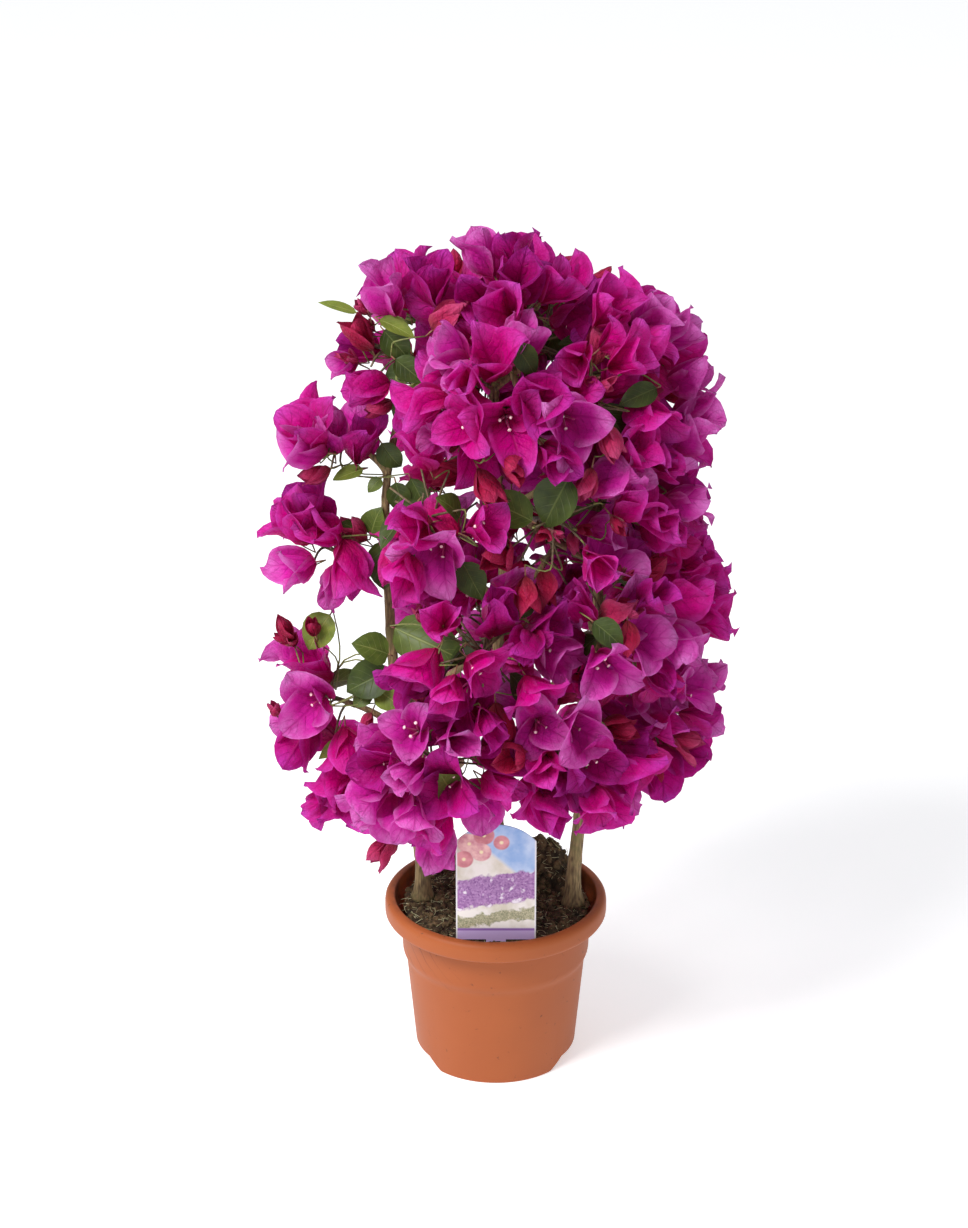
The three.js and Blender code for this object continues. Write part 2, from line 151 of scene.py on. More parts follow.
def add_surround():
    world = bpy.data.worlds.new("studio")
    bpy.context.scene.world = world
    world.use_nodes = True
    surround = world.node_tree.nodes["Background"]
    surround.inputs["Color"].default_value = linear(SURROUND["colour"])
    surround.inputs["Strength"].default_value = SURROUND["strength"]
    bpy.context.scene.view_settings.view_transform = "Standard"


def add_floor():
    far = FLOOR["half_side"]
    mesh = bpy.data.meshes.new("floor")
    mesh.from_pydata([(-far, -far, 0), (far, -far, 0), (far, far, 0), (-far, far, 0)], [], [(0, 1, 2, 3)])
    mesh.materials.append(white_paper())
    new_object("floor", mesh)


add_camera()
add_surround()
for lamp in LAMPS:
    add_lamp(**lamp)
add_floor()


# ------------------------------------------------------------------ the pot
# A nursery pot, injection-moulded in terracotta-coloured polypropylene: a tapering body, a collar,
# a rolled lip, and a shallow arch pressed into the foot at each side. The plant stands in it.

POT_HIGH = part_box("pot")[1]
POT_HEIGHT = POT_HIGH.z
LIP_RADIUS = POT_HIGH.x
WALL = 0.0018
POT_FLOOR = 0.0025
FOOT_RADIUS = 0.061
BODY_RADIUS = 0.0688
COLLAR_BOTTOM = 0.086
COLLAR_RADIUS = 0.0716
COLLAR_STEP = {"below": 0.0035, "above": 0.0020}
LIP_BOTTOM = 0.1185
LIP_INNER = 0.0773
ARCH = {"from": 0.0405, "height": 0.009, "half_width": 0.045, "slope": 0.010}
DRAIN = {"ring": 0.029, "radius": 0.004, "count": 5}
TURNED_SIDES = 144
SHARP_EDGE = 32  # degrees


def lathe_mesh(name, profile, sides):
    """A closed turned body from a profile of (radius, height) that starts and ends on the axis."""
    rings = profile[1:-1]
    turns = [2 * math.pi * k / sides for k in range(sides)]
    verts = [(r * math.cos(a), r * math.sin(a), z) for r, z in rings for a in turns]
    first, last = len(verts), len(verts) + 1
    verts += [(0, 0, profile[0][1]), (0, 0, profile[-1][1])]
    faces = []
    for k in range(sides):
        n = (k + 1) % sides
        faces.append((first, n, k))
        top = (len(rings) - 1) * sides
        faces.append((last, top + k, top + n))
        for i in range(len(rings) - 1):
            a = i * sides
            faces.append((a + k, a + n, a + sides + n, a + sides + k))
    mesh = bpy.data.meshes.new(name)
    mesh.from_pydata(verts, [], faces)
    return mesh


def rounded(corner, before, after, radius, steps=4):
    """The points of a round corner in a profile, between its neighbours."""
    c, b, a = (Vector(p) for p in (corner, before, after))
    start = c + (b - c).normalized() * radius
    end = c + (a - c).normalized() * radius
    curve = []
    for i in range(steps + 1):
        t = i / steps
        curve.append(tuple((1 - t) ** 2 * start + 2 * t * (1 - t) * c + t * t * end))
    return curve


def soft_profile(points, radii):
    """A profile whose inner corners are rounded by the radii given, where they are not zero."""
    out = [points[0]]
    for i in range(1, len(points) - 1):
        if radii[i]:
            out += rounded(points[i], points[i - 1], points[i + 1], radii[i])
        else:
            out.append(points[i])
    return out + [points[-1]]


def prism(name, outline, depth):
    """A closed prism over an outline in XY, standing on z = 0."""
    n = len(outline)
    verts = [(x, y, z) for z in (0, depth) for x, y in outline]
    faces = [tuple(reversed(range(n))), tuple(range(n, 2 * n))]
    faces += [(i, (i + 1) % n, n + (i + 1) % n, n + i) for i in range(n)]
    mesh = bpy.data.meshes.new(name)
    mesh.from_pydata(verts, [], faces)
    return mesh


def arch_tool(grow, side):
    """The space of one arch in the foot, grown all round."""
    low = ARCH["half_width"] + grow
    high = low - ARCH["slope"]
    top = ARCH["height"] + grow
    outline = [(-low, -0.001), (low, -0.001), (low, 0), (high, top), (-high, top), (-low, 0)]
    mesh = prism("arch", outline, 0.05)
    stand = Matrix.Rotation(math.radians(90), 4, "Z") @ Matrix.Rotation(math.radians(90), 4, "X")
    mesh.transform(Matrix.Translation((ARCH["from"] - grow, 0, 0)) @ stand)
    if side < 0:
        mesh.transform(Matrix.Rotation(math.pi, 4, "Z"))
    return new_object("arch", mesh)


def cut(body, tool, operation="DIFFERENCE"):
    modifier = body.modifiers.new("cut", "BOOLEAN")
    modifier.operation = operation
    modifier.solver = "MANIFOLD"
    modifier.object = tool
    bake_modifiers(body)
    bpy.data.objects.remove(tool)


def bake_modifiers(piece):
    """The evaluated shape becomes the piece's own plain mesh."""
    bpy.context.view_layer.update()
    shape = piece.evaluated_get(bpy.context.evaluated_depsgraph_get())
    mesh = bpy.data.meshes.new_from_object(shape)
    piece.modifiers.clear()
    piece.data = mesh


def pot_body():
    outside = [
        (0, 0),
        (FOOT_RADIUS, 0),
        (BODY_RADIUS, COLLAR_BOTTOM - COLLAR_STEP["below"]),
        (COLLAR_RADIUS, COLLAR_BOTTOM + COLLAR_STEP["above"]),
        (COLLAR_RADIUS + 0.001, LIP_BOTTOM),
        (LIP_RADIUS, LIP_BOTTOM),
        (LIP_RADIUS, POT_HEIGHT),
        (LIP_INNER, POT_HEIGHT),
        (LIP_INNER - 0.0005, POT_HEIGHT - 0.010),
        (COLLAR_RADIUS - WALL, LIP_BOTTOM - 0.002),
        (BODY_RADIUS - WALL, COLLAR_BOTTOM),
        (FOOT_RADIUS - WALL, POT_FLOOR),
        (0, POT_FLOOR),
    ]
    radii = [0, 0.0016, 0.003, 0.003, 0.0015, 0.0035, 0.0056, 0.0015, 0.003, 0.002, 0, 0.001, 0]
    pot = new_object("moulded_pot", lathe_mesh("pot", soft_profile(outside, radii), TURNED_SIDES))
    # The arches' own walls and shelves: the pot's outer space, a little in, where an arch grown by
    # one wall meets it.
    foot, body = FOOT_RADIUS - 0.0004, BODY_RADIUS - 0.0004
    core = [(0, 0.0004), (foot, 0.0004), (body, COLLAR_BOTTOM), (0, COLLAR_BOTTOM)]
    whole = new_object("whole", lathe_mesh("whole", core, TURNED_SIDES))
    for side in (-1, 1):
        shelf = new_object("shelf", whole.data.copy())
        cut(shelf, arch_tool(WALL, side), "INTERSECT")
        cut(pot, shelf, "UNION")
        cut(pot, arch_tool(0, side))
    bpy.data.objects.remove(whole)
    turns = [2 * math.pi * k / 20 for k in range(20)]
    round_hole = [(DRAIN["radius"] * math.cos(t), DRAIN["radius"] * math.sin(t)) for t in turns]
    for i in range(DRAIN["count"]):
        a = 2 * math.pi * (i + 0.5) / DRAIN["count"]
        place = Vector((DRAIN["ring"] * math.sin(a), -DRAIN["ring"] * math.cos(a), -0.003))
        hole = prism("hole", round_hole, 0.01)
        hole.transform(Matrix.Translation(place))
        cut(pot, new_object("hole", hole))
    pot.data.shade_smooth()
    pot.data.set_sharp_from_angle(angle=math.radians(SHARP_EDGE))
    return pot


def spaced(size_mm):
    """The scale of a pattern whose marks are this size, in millimetres."""
    return 1000 / size_mm


def moulded_polypropylene():
    """Matt moulded polypropylene in terracotta: an even, slightly waxy skin with broad flow marks,
    a few arcs scraped by stacking, specks of soil, and a film of dust on the lip."""
    material, add = new_material("moulded_polypropylene")
    place = add("ShaderNodeTexCoord").outputs["Object"]
    x, y, z = add("ShaderNodeSeparateXYZ", [place]).outputs
    flow = add("ShaderNodeTexNoise", {"Vector": place, "Scale": spaced(71.43), "Detail": 3})
    skin = add("ShaderNodeMix", [flow, linear("#964B22"), linear("#A8592B")], data_type="RGBA")
    # Stacking scrapes: arcs round a point above the front, worn in here and there below the lip.
    set_off = add("ShaderNodeMapping", {"Vector": place, "Location": (-0.006, 0, -0.140)})
    arcs = add(
        "ShaderNodeTexWave",
        {"Vector": set_off, "Scale": spaced(23.81), "Distortion": 1.2, "Detail": 2, "Detail Scale": 2},
        wave_type="RINGS",
        rings_direction="Y",
        wave_profile="SIN",
    ).outputs["Fac"]
    line = add("ShaderNodeMapRange", [arcs, 0.970, 1.0])
    patch = add("ShaderNodeTexNoise", {"Vector": place, "Scale": spaced(38.46), "Detail": 2})
    some = add("ShaderNodeMapRange", [patch, 0.50, 0.60])
    above_band = add("ShaderNodeMath", [z, 0.098], operation="SUBTRACT")
    off_band = add("ShaderNodeMath", [above_band], operation="ABSOLUTE")
    band = add("ShaderNodeMapRange", [off_band, 0.022, 0.014])
    where = add("ShaderNodeMath", [some, band], operation="MULTIPLY")
    scrape = add("ShaderNodeMath", [line, where], operation="MULTIPLY")
    faint = add("ShaderNodeMath", [scrape, 0.75], operation="MULTIPLY")
    scraped = add("ShaderNodeMix", [faint, skin, linear("#78371B")], data_type="RGBA")
    # Soil: specks all over, and a dusty film inside the lip and along its top.
    speck = add(
        "ShaderNodeTexNoise", {"Vector": place, "Scale": spaced(5.263), "Detail": 4, "Roughness": 0.7}
    )
    specks = add("ShaderNodeMapRange", [speck, 0.655, 0.70])
    level = add("ShaderNodeCombineXYZ", [x, y])
    radius = add("ShaderNodeVectorMath", [level], operation="LENGTH")
    inside = add("ShaderNodeMapRange", [radius, LIP_INNER + 0.005, LIP_INNER])
    high = add("ShaderNodeMapRange", [z, LIP_BOTTOM, LIP_BOTTOM + 0.003])
    rim = add("ShaderNodeMath", [inside, high], operation="MULTIPLY")
    smear = add(
        "ShaderNodeTexNoise", {"Vector": place, "Scale": spaced(16.67), "Detail": 5, "Roughness": 0.65}
    )
    film = add("ShaderNodeMapRange", [smear, 0.42, 0.60])
    dust = add("ShaderNodeMath", [rim, film], operation="MULTIPLY")
    soiled = add("ShaderNodeMath", [dust, specks], operation="MAXIMUM")
    share = add("ShaderNodeMath", [soiled, 0.62], operation="MULTIPLY")
    colour = add("ShaderNodeMix", [share, scraped, linear("#4A2E1E")], data_type="RGBA")
    rough = add("ShaderNodeMapRange", {"Value": flow, "To Min": 0.46, "To Max": 0.60})
    # The mould's grain is finer: it is drawn this coarse so that it shows.
    grain = add("ShaderNodeTexNoise", {"Vector": place, "Scale": spaced(1.111), "Detail": 2})
    heights = add("ShaderNodeMath", [grain, scrape], operation="ADD")
    bump = add("ShaderNodeBump", {"Height": heights, "Strength": 0.25, "Distance": 0.0002})
    shader = add(
        "ShaderNodeBsdfPrincipled",
        {"Base Color": colour, "Roughness": rough, "IOR": 1.49, "Specular IOR Level": 0.32, "Normal": bump},
    )
    add("ShaderNodeOutputMaterial", [shader])
    return material


pot = pot_body()
pot.data.materials.clear()
pot.data.materials.append(moulded_polypropylene())
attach(pot, "root")
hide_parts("pot")


# ------------------------------------------------------------------ the compost
# Dark peat compost fills the pot to just under the lip: a crumbly bed with a loose heap behind
# the label, with crumbs of peat and pale straw fibres lying on it.

COMPOST_TOP = 0.1283
COMPOST_EDGE = 0.1263
COMPOST_PLATEAU = 0.060
HEAP = {"x": 0.034, "y": 0.028, "z": 0.121, "width": 0.0273, "depth": 0.021, "rise": 0.044}
CLEAR = 0.0003  # between the compost and the pot
# The bed's relief, in metres: lumps and clods so many a metre, rougher on the heap.
LUMPS = {"per_metre": 95, "height": 0.0026, "clods_per_metre": 210, "clod_depth": 0.0026}
BED_GRID = {"sides": 180, "rings": 62}
STREWN = 52000.0  # crumbs, and as many fibres, on a square metre


def inner_radius(height):
    bottom, neck, collar = FOOT_RADIUS - WALL, BODY_RADIUS - WALL, COLLAR_RADIUS - WALL
    if height <= COLLAR_BOTTOM:
        return bottom + (neck - bottom) * height / COLLAR_BOTTOM
    return neck + (collar - neck) * (height - COLLAR_BOTTOM) / (LIP_BOTTOM - COLLAR_BOTTOM)


def compost_surface(x, y):
    """Height of the bed at a place: the plateau, its edge, the heap and the crumbs of the peat."""
    radius = math.hypot(x, y)
    edge = inner_radius(LIP_BOTTOM)
    fall = min(max((radius - COMPOST_PLATEAU) / (edge - COMPOST_PLATEAU), 0), 1)
    height = COMPOST_TOP + (COMPOST_EDGE - COMPOST_TOP) * fall
    off = ((x - HEAP["x"]) / HEAP["width"]) ** 2 + ((y - HEAP["y"]) / HEAP["depth"]) ** 2
    if off < 1:
        height = max(height, HEAP["z"] + HEAP["rise"] * math.sqrt(1 - off))
    place = Vector((x, y, 0))
    lumps = noise.fractal(place * LUMPS["per_metre"], 0.9, 2.1, 4) * LUMPS["height"]
    clods = abs(noise.noise(place * LUMPS["clods_per_metre"] + Vector((5, 9, 2)))) * LUMPS["clod_depth"]
    heaped = 1 + 1.2 * max(0, 1 - off)
    return height + (lumps - clods) * (1 - 0.6 * fall) * heaped


def compost_bed():
    sides, rings = BED_GRID["sides"], BED_GRID["rings"]
    edge = inner_radius(LIP_BOTTOM)
    rows = []
    for i in range(rings):
        radius = edge * ((i + 1) / rings)
        row = []
        for k in range(sides):
            a = 2 * math.pi * k / sides
            x, y = radius * math.cos(a), radius * math.sin(a)
            row.append((x, y, compost_surface(x, y)))
        rows.append(row)
    arches = ARCH["height"] + WALL + CLEAR
    for radius, height in [
        (inner_radius(LIP_BOTTOM) - CLEAR, LIP_BOTTOM),
        (inner_radius(COLLAR_BOTTOM) - CLEAR, COLLAR_BOTTOM),
        (inner_radius(arches) - CLEAR, arches + 0.001),
        (ARCH["from"] - WALL - CLEAR, arches + 0.0005),
        (ARCH["from"] - WALL - 2 * CLEAR, POT_FLOOR + CLEAR),
    ]:
        turns = [2 * math.pi * k / sides for k in range(sides)]
        rows.append([(radius * math.cos(a), radius * math.sin(a), height) for a in turns])
    verts = [point for row in rows for point in row]
    top, bottom = len(verts), len(verts) + 1
    verts += [(0, 0, compost_surface(0, 0)), (0, 0, POT_FLOOR + CLEAR)]
    faces = []
    for k in range(sides):
        n = (k + 1) % sides
        faces.append((top, k, n))
        last = (len(rows) - 1) * sides
        faces.append((bottom, last + n, last + k))
        for i in range(len(rows) - 1):
            a = i * sides
            faces.append((a + n, a + k, a + sides + k, a + sides + n))
    mesh = bpy.data.meshes.new("compost")
    mesh.from_pydata(verts, [], faces)
    mesh.shade_smooth()
    return new_object("peat_bed", mesh)


def peat(name, dark, brown):
    """Moist peat: almost black, with browner fibres, dull and rough all over."""
    material, add = new_material(name)
    place = add("ShaderNodeTexCoord").outputs["Object"]
    clumps = add(
        "ShaderNodeTexNoise", {"Vector": place, "Scale": spaced(6.25), "Detail": 6, "Roughness": 0.65}
    )
    share = add("ShaderNodeMapRange", [clumps, 0.38, 0.72])
    colour = add("ShaderNodeMix", [share, linear(dark), linear(brown)], data_type="RGBA")
    fine = add("ShaderNodeTexNoise", {"Vector": place, "Scale": spaced(1.4286), "Detail": 4})
    heights = add("ShaderNodeMath", [fine, clumps], operation="ADD")
    bump = add("ShaderNodeBump", {"Height": heights, "Strength": 0.9, "Distance": 0.0008})
    shader = add(
        "ShaderNodeBsdfPrincipled",
        {"Base Color": colour, "Roughness": 0.93, "Specular IOR Level": 0.25, "Normal": bump},
    )
    add("ShaderNodeOutputMaterial", [shader])
    return material


def straw_fibre():
    """Dry straw and root fibres: pale buff, with a slow change of tone, matt."""
    material, add = new_material("straw_fibre")
    place = add("ShaderNodeTexCoord").outputs["Object"]
    tint = add("ShaderNodeTexNoise", {"Vector": place, "Scale": spaced(8.333), "Detail": 3})
    share = add("ShaderNodeMapRange", [tint, 0.35, 0.65])
    colour = add("ShaderNodeMix", [share, linear("#8E8A5E"), linear("#DCD8AE")], data_type="RGBA")
    shader = add("ShaderNodeBsdfPrincipled", {"Base Color": colour, "Roughness": 0.8})
    add("ShaderNodeOutputMaterial", [shader])
    return material


def crumb(add):
    """A lump of peat: a small ball pushed out of round."""
    ball = add("GeometryNodeMeshIcoSphere", {"Radius": 1.0, "Subdivisions": 2})
    rough = add("ShaderNodeTexNoise", {"Scale": 1.3, "Detail": 2}).outputs["Color"]
    away = add("ShaderNodeVectorMath", [rough, (0.5, 0.5, 0.5)], operation="SUBTRACT")
    push = add("ShaderNodeVectorMath", {"Vector": away, "Scale": 1.6}, operation="SCALE")
    return add("GeometryNodeSetPosition", {"Geometry": ball, "Offset": push})


def fibre(add):
    """A bent straw: a four-sided tube along a shallow curve, one long from its middle to its end."""
    curve = add(
        "GeometryNodeCurveQuadraticBezier",
        {"Resolution": 5, "Start": (-1, 0, -0.06), "Middle": (0.1, 0.75, 0.22), "End": (1, 0, 0.02)},
    )
    ring = add("GeometryNodeCurvePrimitiveCircle", {"Resolution": 4, "Radius": 0.048})
    return add("GeometryNodeCurveToMesh", {"Curve": curve, "Profile Curve": ring, "Fill Caps": True})


def scatter_tree(name, material, shape, turns):
    """A node tree that strews a shape over the upward faces of a mesh, turned within limits."""
    tree = bpy.data.node_groups.new(name, "GeometryNodeTree")
    add = partial(add_node, tree)
    sockets = {}
    for label, kind in [
        ("Geometry", "NodeSocketGeometry"),
        ("Per square metre", "NodeSocketFloat"),
        ("Smallest", "NodeSocketFloat"),
        ("Largest", "NodeSocketFloat"),
        ("Seed", "NodeSocketInt"),
    ]:
        sockets[label] = tree.interface.new_socket(label, in_out="INPUT", socket_type=kind).identifier
    tree.interface.new_socket("Geometry", in_out="OUTPUT", socket_type="NodeSocketGeometry")
    given = add("NodeGroupInput").outputs
    upward = add("ShaderNodeSeparateXYZ", [add("GeometryNodeInputNormal")]).outputs["Z"]
    on_top = add("FunctionNodeCompare", [upward, 0.15], operation="GREATER_THAN")
    points = add(
        "GeometryNodeDistributePointsOnFaces",
        {
            "Mesh": given["Geometry"],
            "Selection": on_top,
            "Density": given["Per square metre"],
            "Seed": given["Seed"],
        },
    )
    turn = add("FunctionNodeRandomValue", {"Min": turns[0], "Max": turns[1]}, data_type="FLOAT_VECTOR")
    sizes = {"Min": given["Smallest"], "Max": given["Largest"]}
    size = add("FunctionNodeRandomValue", sizes, data_type="FLOAT")
    strewn = add(
        "GeometryNodeInstanceOnPoints",
        {"Points": points, "Instance": shape(add), "Rotation": turn, "Scale": size},
    )
    real = add("GeometryNodeRealizeInstances", [strewn])
    done = add("GeometryNodeSetMaterial", {"Geometry": real, "Material": material})
    add("NodeGroupOutput", [done])
    return tree, sockets


def strew(bed, name, material, shape, turns, inputs):
    tree, sockets = scatter_tree(name, material, shape, turns)
    piece = new_object(name, bed.data.copy())
    modifier = piece.modifiers.new(name, "NODES")
    modifier.node_group = tree
    for label, value in inputs.items():
        modifier[sockets[label]] = value
    bake_modifiers(piece)
    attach(piece, "root")


bed = compost_bed()
bed.data.materials.append(peat("moist_peat", "#2A2119", "#62503A"))
strew(
    bed, "peat_crumbs", peat("peat_crumb", "#30261B", "#86704F"), crumb, ((0, 0, 0), (6.283, 6.283, 6.283)),
    {"Per square metre": STREWN, "Smallest": 0.0005, "Largest": 0.0030, "Seed": 3},
)
strew(
    bed, "straw_fibres", straw_fibre(), fibre, ((-0.5, -0.5, 0), (0.5, 0.5, 6.283)),
    {"Per square metre": STREWN, "Smallest": 0.0010, "Largest": 0.0056, "Seed": 5},
)
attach(bed, "root")
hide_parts("compost")


# ------------------------------------------------------------------ the plant label
# A die-cut plastic card on a spike, pushed into the compost at the front. Its printed face carries
# a plain design of its own: a pale card with a blue field at the upper right, five round rosettes
# at the top left, a purple and an olive band across, and a lilac strip along the foot.

LABEL_LOW, LABEL_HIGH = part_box("plant_label")
LABEL_HALF = LABEL_HIGH.x
LABEL_BOTTOM = 0.1288
LABEL_SHOULDER = 0.212
SPIKE_HALF = 0.0075
CARD_BEVEL = 0.0002


def label_card():
    top = LABEL_HIGH.z
    rise = top - LABEL_SHOULDER
    radius = (LABEL_HALF**2 + rise**2) / (2 * rise)
    sweep = math.asin(LABEL_HALF / radius)
    arch = []
    for i in range(41):
        a = sweep * (1 - i / 20)
        arch.append((radius * math.sin(a), top - radius + radius * math.cos(a)))
    foot = [
        (-LABEL_HALF, LABEL_BOTTOM),
        (-SPIKE_HALF, LABEL_BOTTOM),
        (-SPIKE_HALF, LABEL_LOW.z + SPIKE_HALF),
        (0, LABEL_LOW.z),
        (SPIKE_HALF, LABEL_LOW.z + SPIKE_HALF),
        (SPIKE_HALF, LABEL_BOTTOM),
        (LABEL_HALF, LABEL_BOTTOM),
    ]
    mesh = prism("label", foot + arch, LABEL_HIGH.y - LABEL_LOW.y)
    mesh.transform(Matrix.Translation((0, LABEL_HIGH.y, 0)) @ Matrix.Rotation(math.radians(90), 4, "X"))
    card = new_object("printed_label", mesh)
    bevel = card.modifiers.new("bevel", "BEVEL")
    bevel.width = CARD_BEVEL
    bevel.segments = 2
    bevel.limit_method = "ANGLE"
    bake_modifiers(card)
    return card


def printed_card():
    """Offset-printed polystyrene card: flat inks with a soft screen, under a satin lacquer."""
    material, add = new_material("printed_card")
    place = add("ShaderNodeTexCoord").outputs["Object"]
    x, _, z = add("ShaderNodeSeparateXYZ", [place]).outputs
    flat = add("ShaderNodeCombineXYZ", {"X": x, "Z": z})
    cloud = add("ShaderNodeTexNoise", {"Vector": place, "Scale": spaced(14.286), "Detail": 4})
    ragged = add("ShaderNodeTexNoise", {"Vector": place, "Scale": spaced(6.25), "Detail": 3})
    # The print's screen is much finer: it is drawn this coarse so that it shows.
    coarse = add("ShaderNodeTexVoronoi", {"Vector": place, "Scale": spaced(1.3)}).outputs["Color"]
    fine = add("ShaderNodeTexVoronoi", {"Vector": place, "Scale": spaced(0.9)}).outputs["Color"]
    # Heights over which the edges are drawn: one that slants, and one that rolls and is ragged.
    slope = add("ShaderNodeMath", [x, 0.9], operation="MULTIPLY")
    slanting = add("ShaderNodeMath", [z, slope], operation="ADD")
    tear = add("ShaderNodeMath", [ragged, 0.012], operation="MULTIPLY")
    torn = add("ShaderNodeMath", [z, tear], operation="ADD")
    tilt = add("ShaderNodeMath", [x, 0.16], operation="MULTIPLY")
    rolling = add("ShaderNodeMath", [torn, tilt], operation="SUBTRACT")
    off_middle = add("ShaderNodeMath", [x], operation="ABSOLUTE")

    # Two-toned inks: what they vary with, and the level and half width of the change between them.
    inks = {}
    for name, field, level, soft, first, second in [
        ("card", cloud, 0.54, 0.12, linear("#E9E1DC"), linear("#CFC5B4")),
        ("sky", cloud, 0.50, 0.16, linear("#83A6DA"), linear("#BCCDEA")),
        ("hedge", coarse, 0.50, 0.50, linear("#7A3F86"), linear("#B98ABF")),
        ("grass", fine, 0.50, 0.50, linear("#6F7452"), linear("#C2B798")),
        ("petal", cloud, 0.50, 0.13, linear("#A8485C"), linear("#DB8F96")),
        ("pale_petal", ragged, 0.50, 0.13, linear("#C8788A"), linear("#E8B8B4")),
    ]:
        share = add("ShaderNodeMapRange", [field, level - soft, level + soft])
        inks[name] = add("ShaderNodeMix", [share, first, second], data_type="RGBA")
    flecks = add("ShaderNodeMapRange", [ragged, 0.58, 0.66])
    inks["hedge"] = add("ShaderNodeMix", [flecks, inks["hedge"], linear("#E8DCE8")], data_type="RGBA")

    # The layers as printed, each with its edges: what the edge follows, and its level and softness.
    # The ink lies above an edge, or below it where the softness is negative.
    layers = [
        (inks["sky"], [(slanting, 0.199, 0.002)]),
        (inks["hedge"], [(rolling, 0.1895, -0.0010), (rolling, 0.1650, 0.0010)]),
        (inks["grass"], [(rolling, 0.1580, -0.0008), (rolling, 0.1485, 0.0008)]),
    ]
    rosettes = [
        ((-0.020, 0, 0.210), 0.0085, "pale_petal"),
        ((-0.009, 0, 0.217), 0.0078, "petal"),
        ((-0.024, 0, 0.197), 0.0070, "petal"),
        ((-0.011, 0, 0.203), 0.0075, "pale_petal"),
        ((0.004, 0, 0.211), 0.0060, "petal"),
    ]
    middles = [add("ShaderNodeVectorMath", [flat, middle], operation="DISTANCE") for middle, *_ in rosettes]
    layers += [(inks[ink], [(far, size, -0.0005)]) for far, (_, size, ink) in zip(middles, rosettes)]
    layers += [(linear("#F0DDB2"), [(far, 0.0014, -0.0005)]) for far in middles]
    layers += [
        (linear("#CDB2E2"), [(z, 0.1385, -0.0004)]),
        (linear("#8C62A8"), [(z, 0.1385, -0.0004), (z, 0.1365, 0.0004)]),
        (linear("#E6E2E4"), [(off_middle, 0.0289, 0.0002)]),
    ]
    colour = inks["card"]
    for ink, edges in layers:
        masks = [
            add("ShaderNodeMapRange", [field, level - soft, level + soft]) for field, level, soft in edges
        ]
        mask = masks[0] if len(masks) == 1 else add("ShaderNodeMath", masks, operation="MULTIPLY")
        colour = add("ShaderNodeMix", [mask, colour, ink], data_type="RGBA")
    shader = add("ShaderNodeBsdfPrincipled", {"Base Color": colour, "Roughness": 0.38, "IOR": 1.5})
    add("ShaderNodeOutputMaterial", [shader])
    return material


label = label_card()
label.data.materials.append(printed_card())
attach(label, "root")
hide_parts("plant_label")


# ------------------------------------------------------------------ stems and boughs
# Three woody stems rise from the compost, spread a little and turn in at the top. Each bears side
# boughs that climb outwards. Young grey-brown bark, ridged along the wood and swollen at the forks.

STEM = {
    "foot_radius": 0.0054,
    "tip_radius": 0.0024,
    "flare": 0.0032,
    "flare_height": 0.014,
    "relief": 0.10,
}
STEMS = [
    {"name": "left", "azimuth": 268, "foot": 0.056, "belly": 0.080, "tip": 0.066, "tip_height": 0.548},
    {"name": "right", "azimuth": 83, "foot": 0.060, "belly": 0.076, "tip": 0.052, "tip_height": 0.556},
    {"name": "back", "azimuth": 178, "foot": 0.044, "belly": 0.066, "tip": 0.030, "tip_height": 0.566},
]
BOUGH = {"root_radius": 0.0029, "tip_radius": 0.0022, "swell": 0.0012, "bend": 0.5, "relief": 0.09}
# How far below its entry a bough leaves the stem: a share of its run, the least, and what is added
# at each new try.
CLIMB = {"share": 0.75, "least": 0.014, "per_try": 0.007, "tries": 9}


def mix(a, b, share):
    return a + (b - a) * share


def polar(azimuth, radius, height):
    a = math.radians(azimuth)
    return Vector((radius * math.sin(a), -radius * math.cos(a), height))


def spline(points, steps):
    """A centripetal Catmull-Rom curve through the points, as evenly spaced points."""
    ends = [2 * points[0] - points[1], *points, 2 * points[-1] - points[-2]]
    fine = []
    for i in range(1, len(ends) - 2):
        p0, p1, p2, p3 = ends[i - 1 : i + 3]
        d0, d1, d2 = (math.sqrt((b - a).length) for a, b in ((p0, p1), (p1, p2), (p2, p3)))
        t1 = ((p1 - p0) / d0 - (p2 - p0) / (d0 + d1) + (p2 - p1) / d1) * d1
        t2 = ((p2 - p1) / d1 - (p3 - p1) / (d1 + d2) + (p3 - p2) / d2) * d1
        for k in range(40):
            t = k / 40
            cubic = p1 + t1 * t + (3 * (p2 - p1) - 2 * t1 - t2) * t**2 + (2 * (p1 - p2) + t1 + t2) * t**3
            fine.append(cubic)
    fine.append(points[-1])
    return resampled(fine, steps)


def resampled(points, steps):
    line = np.array(points)
    walked = np.concatenate([[0], np.cumsum(np.linalg.norm(np.diff(line, axis=0), axis=1))])
    even = np.linspace(0, walked[-1], steps + 1)
    return np.stack([np.interp(even, walked, line[:, k]) for k in range(3)], axis=1)


def bezier(a, b, c, steps):
    """A quadratic curve from a towards b to c."""
    t = np.linspace(0, 1, steps + 1)[:, None]
    a, b, c = (np.array(p, float) for p in (a, b, c))
    return (1 - t) ** 2 * a + 2 * t * (1 - t) * b + t * t * c


def stem_path(stem):
    def at(share, radius, turn):
        return polar(stem["azimuth"] + turn, radius, mix(COMPOST_TOP + CLEAR, stem["tip_height"], share))

    foot, belly = stem["foot"], stem["belly"]
    return spline(
        [
            at(0, foot, 0),
            at(0.06, foot, 0),
            at(0.3, mix(foot, belly, 0.6), 3),
            at(0.6, belly, -3),
            at(0.82, belly, 2),
            at(1, stem["tip"], 4),
        ],
        140,
    )


def point_at_height(path, height):
    return Vector([np.interp(height, path[:, 2], path[:, k]) for k in range(3)])


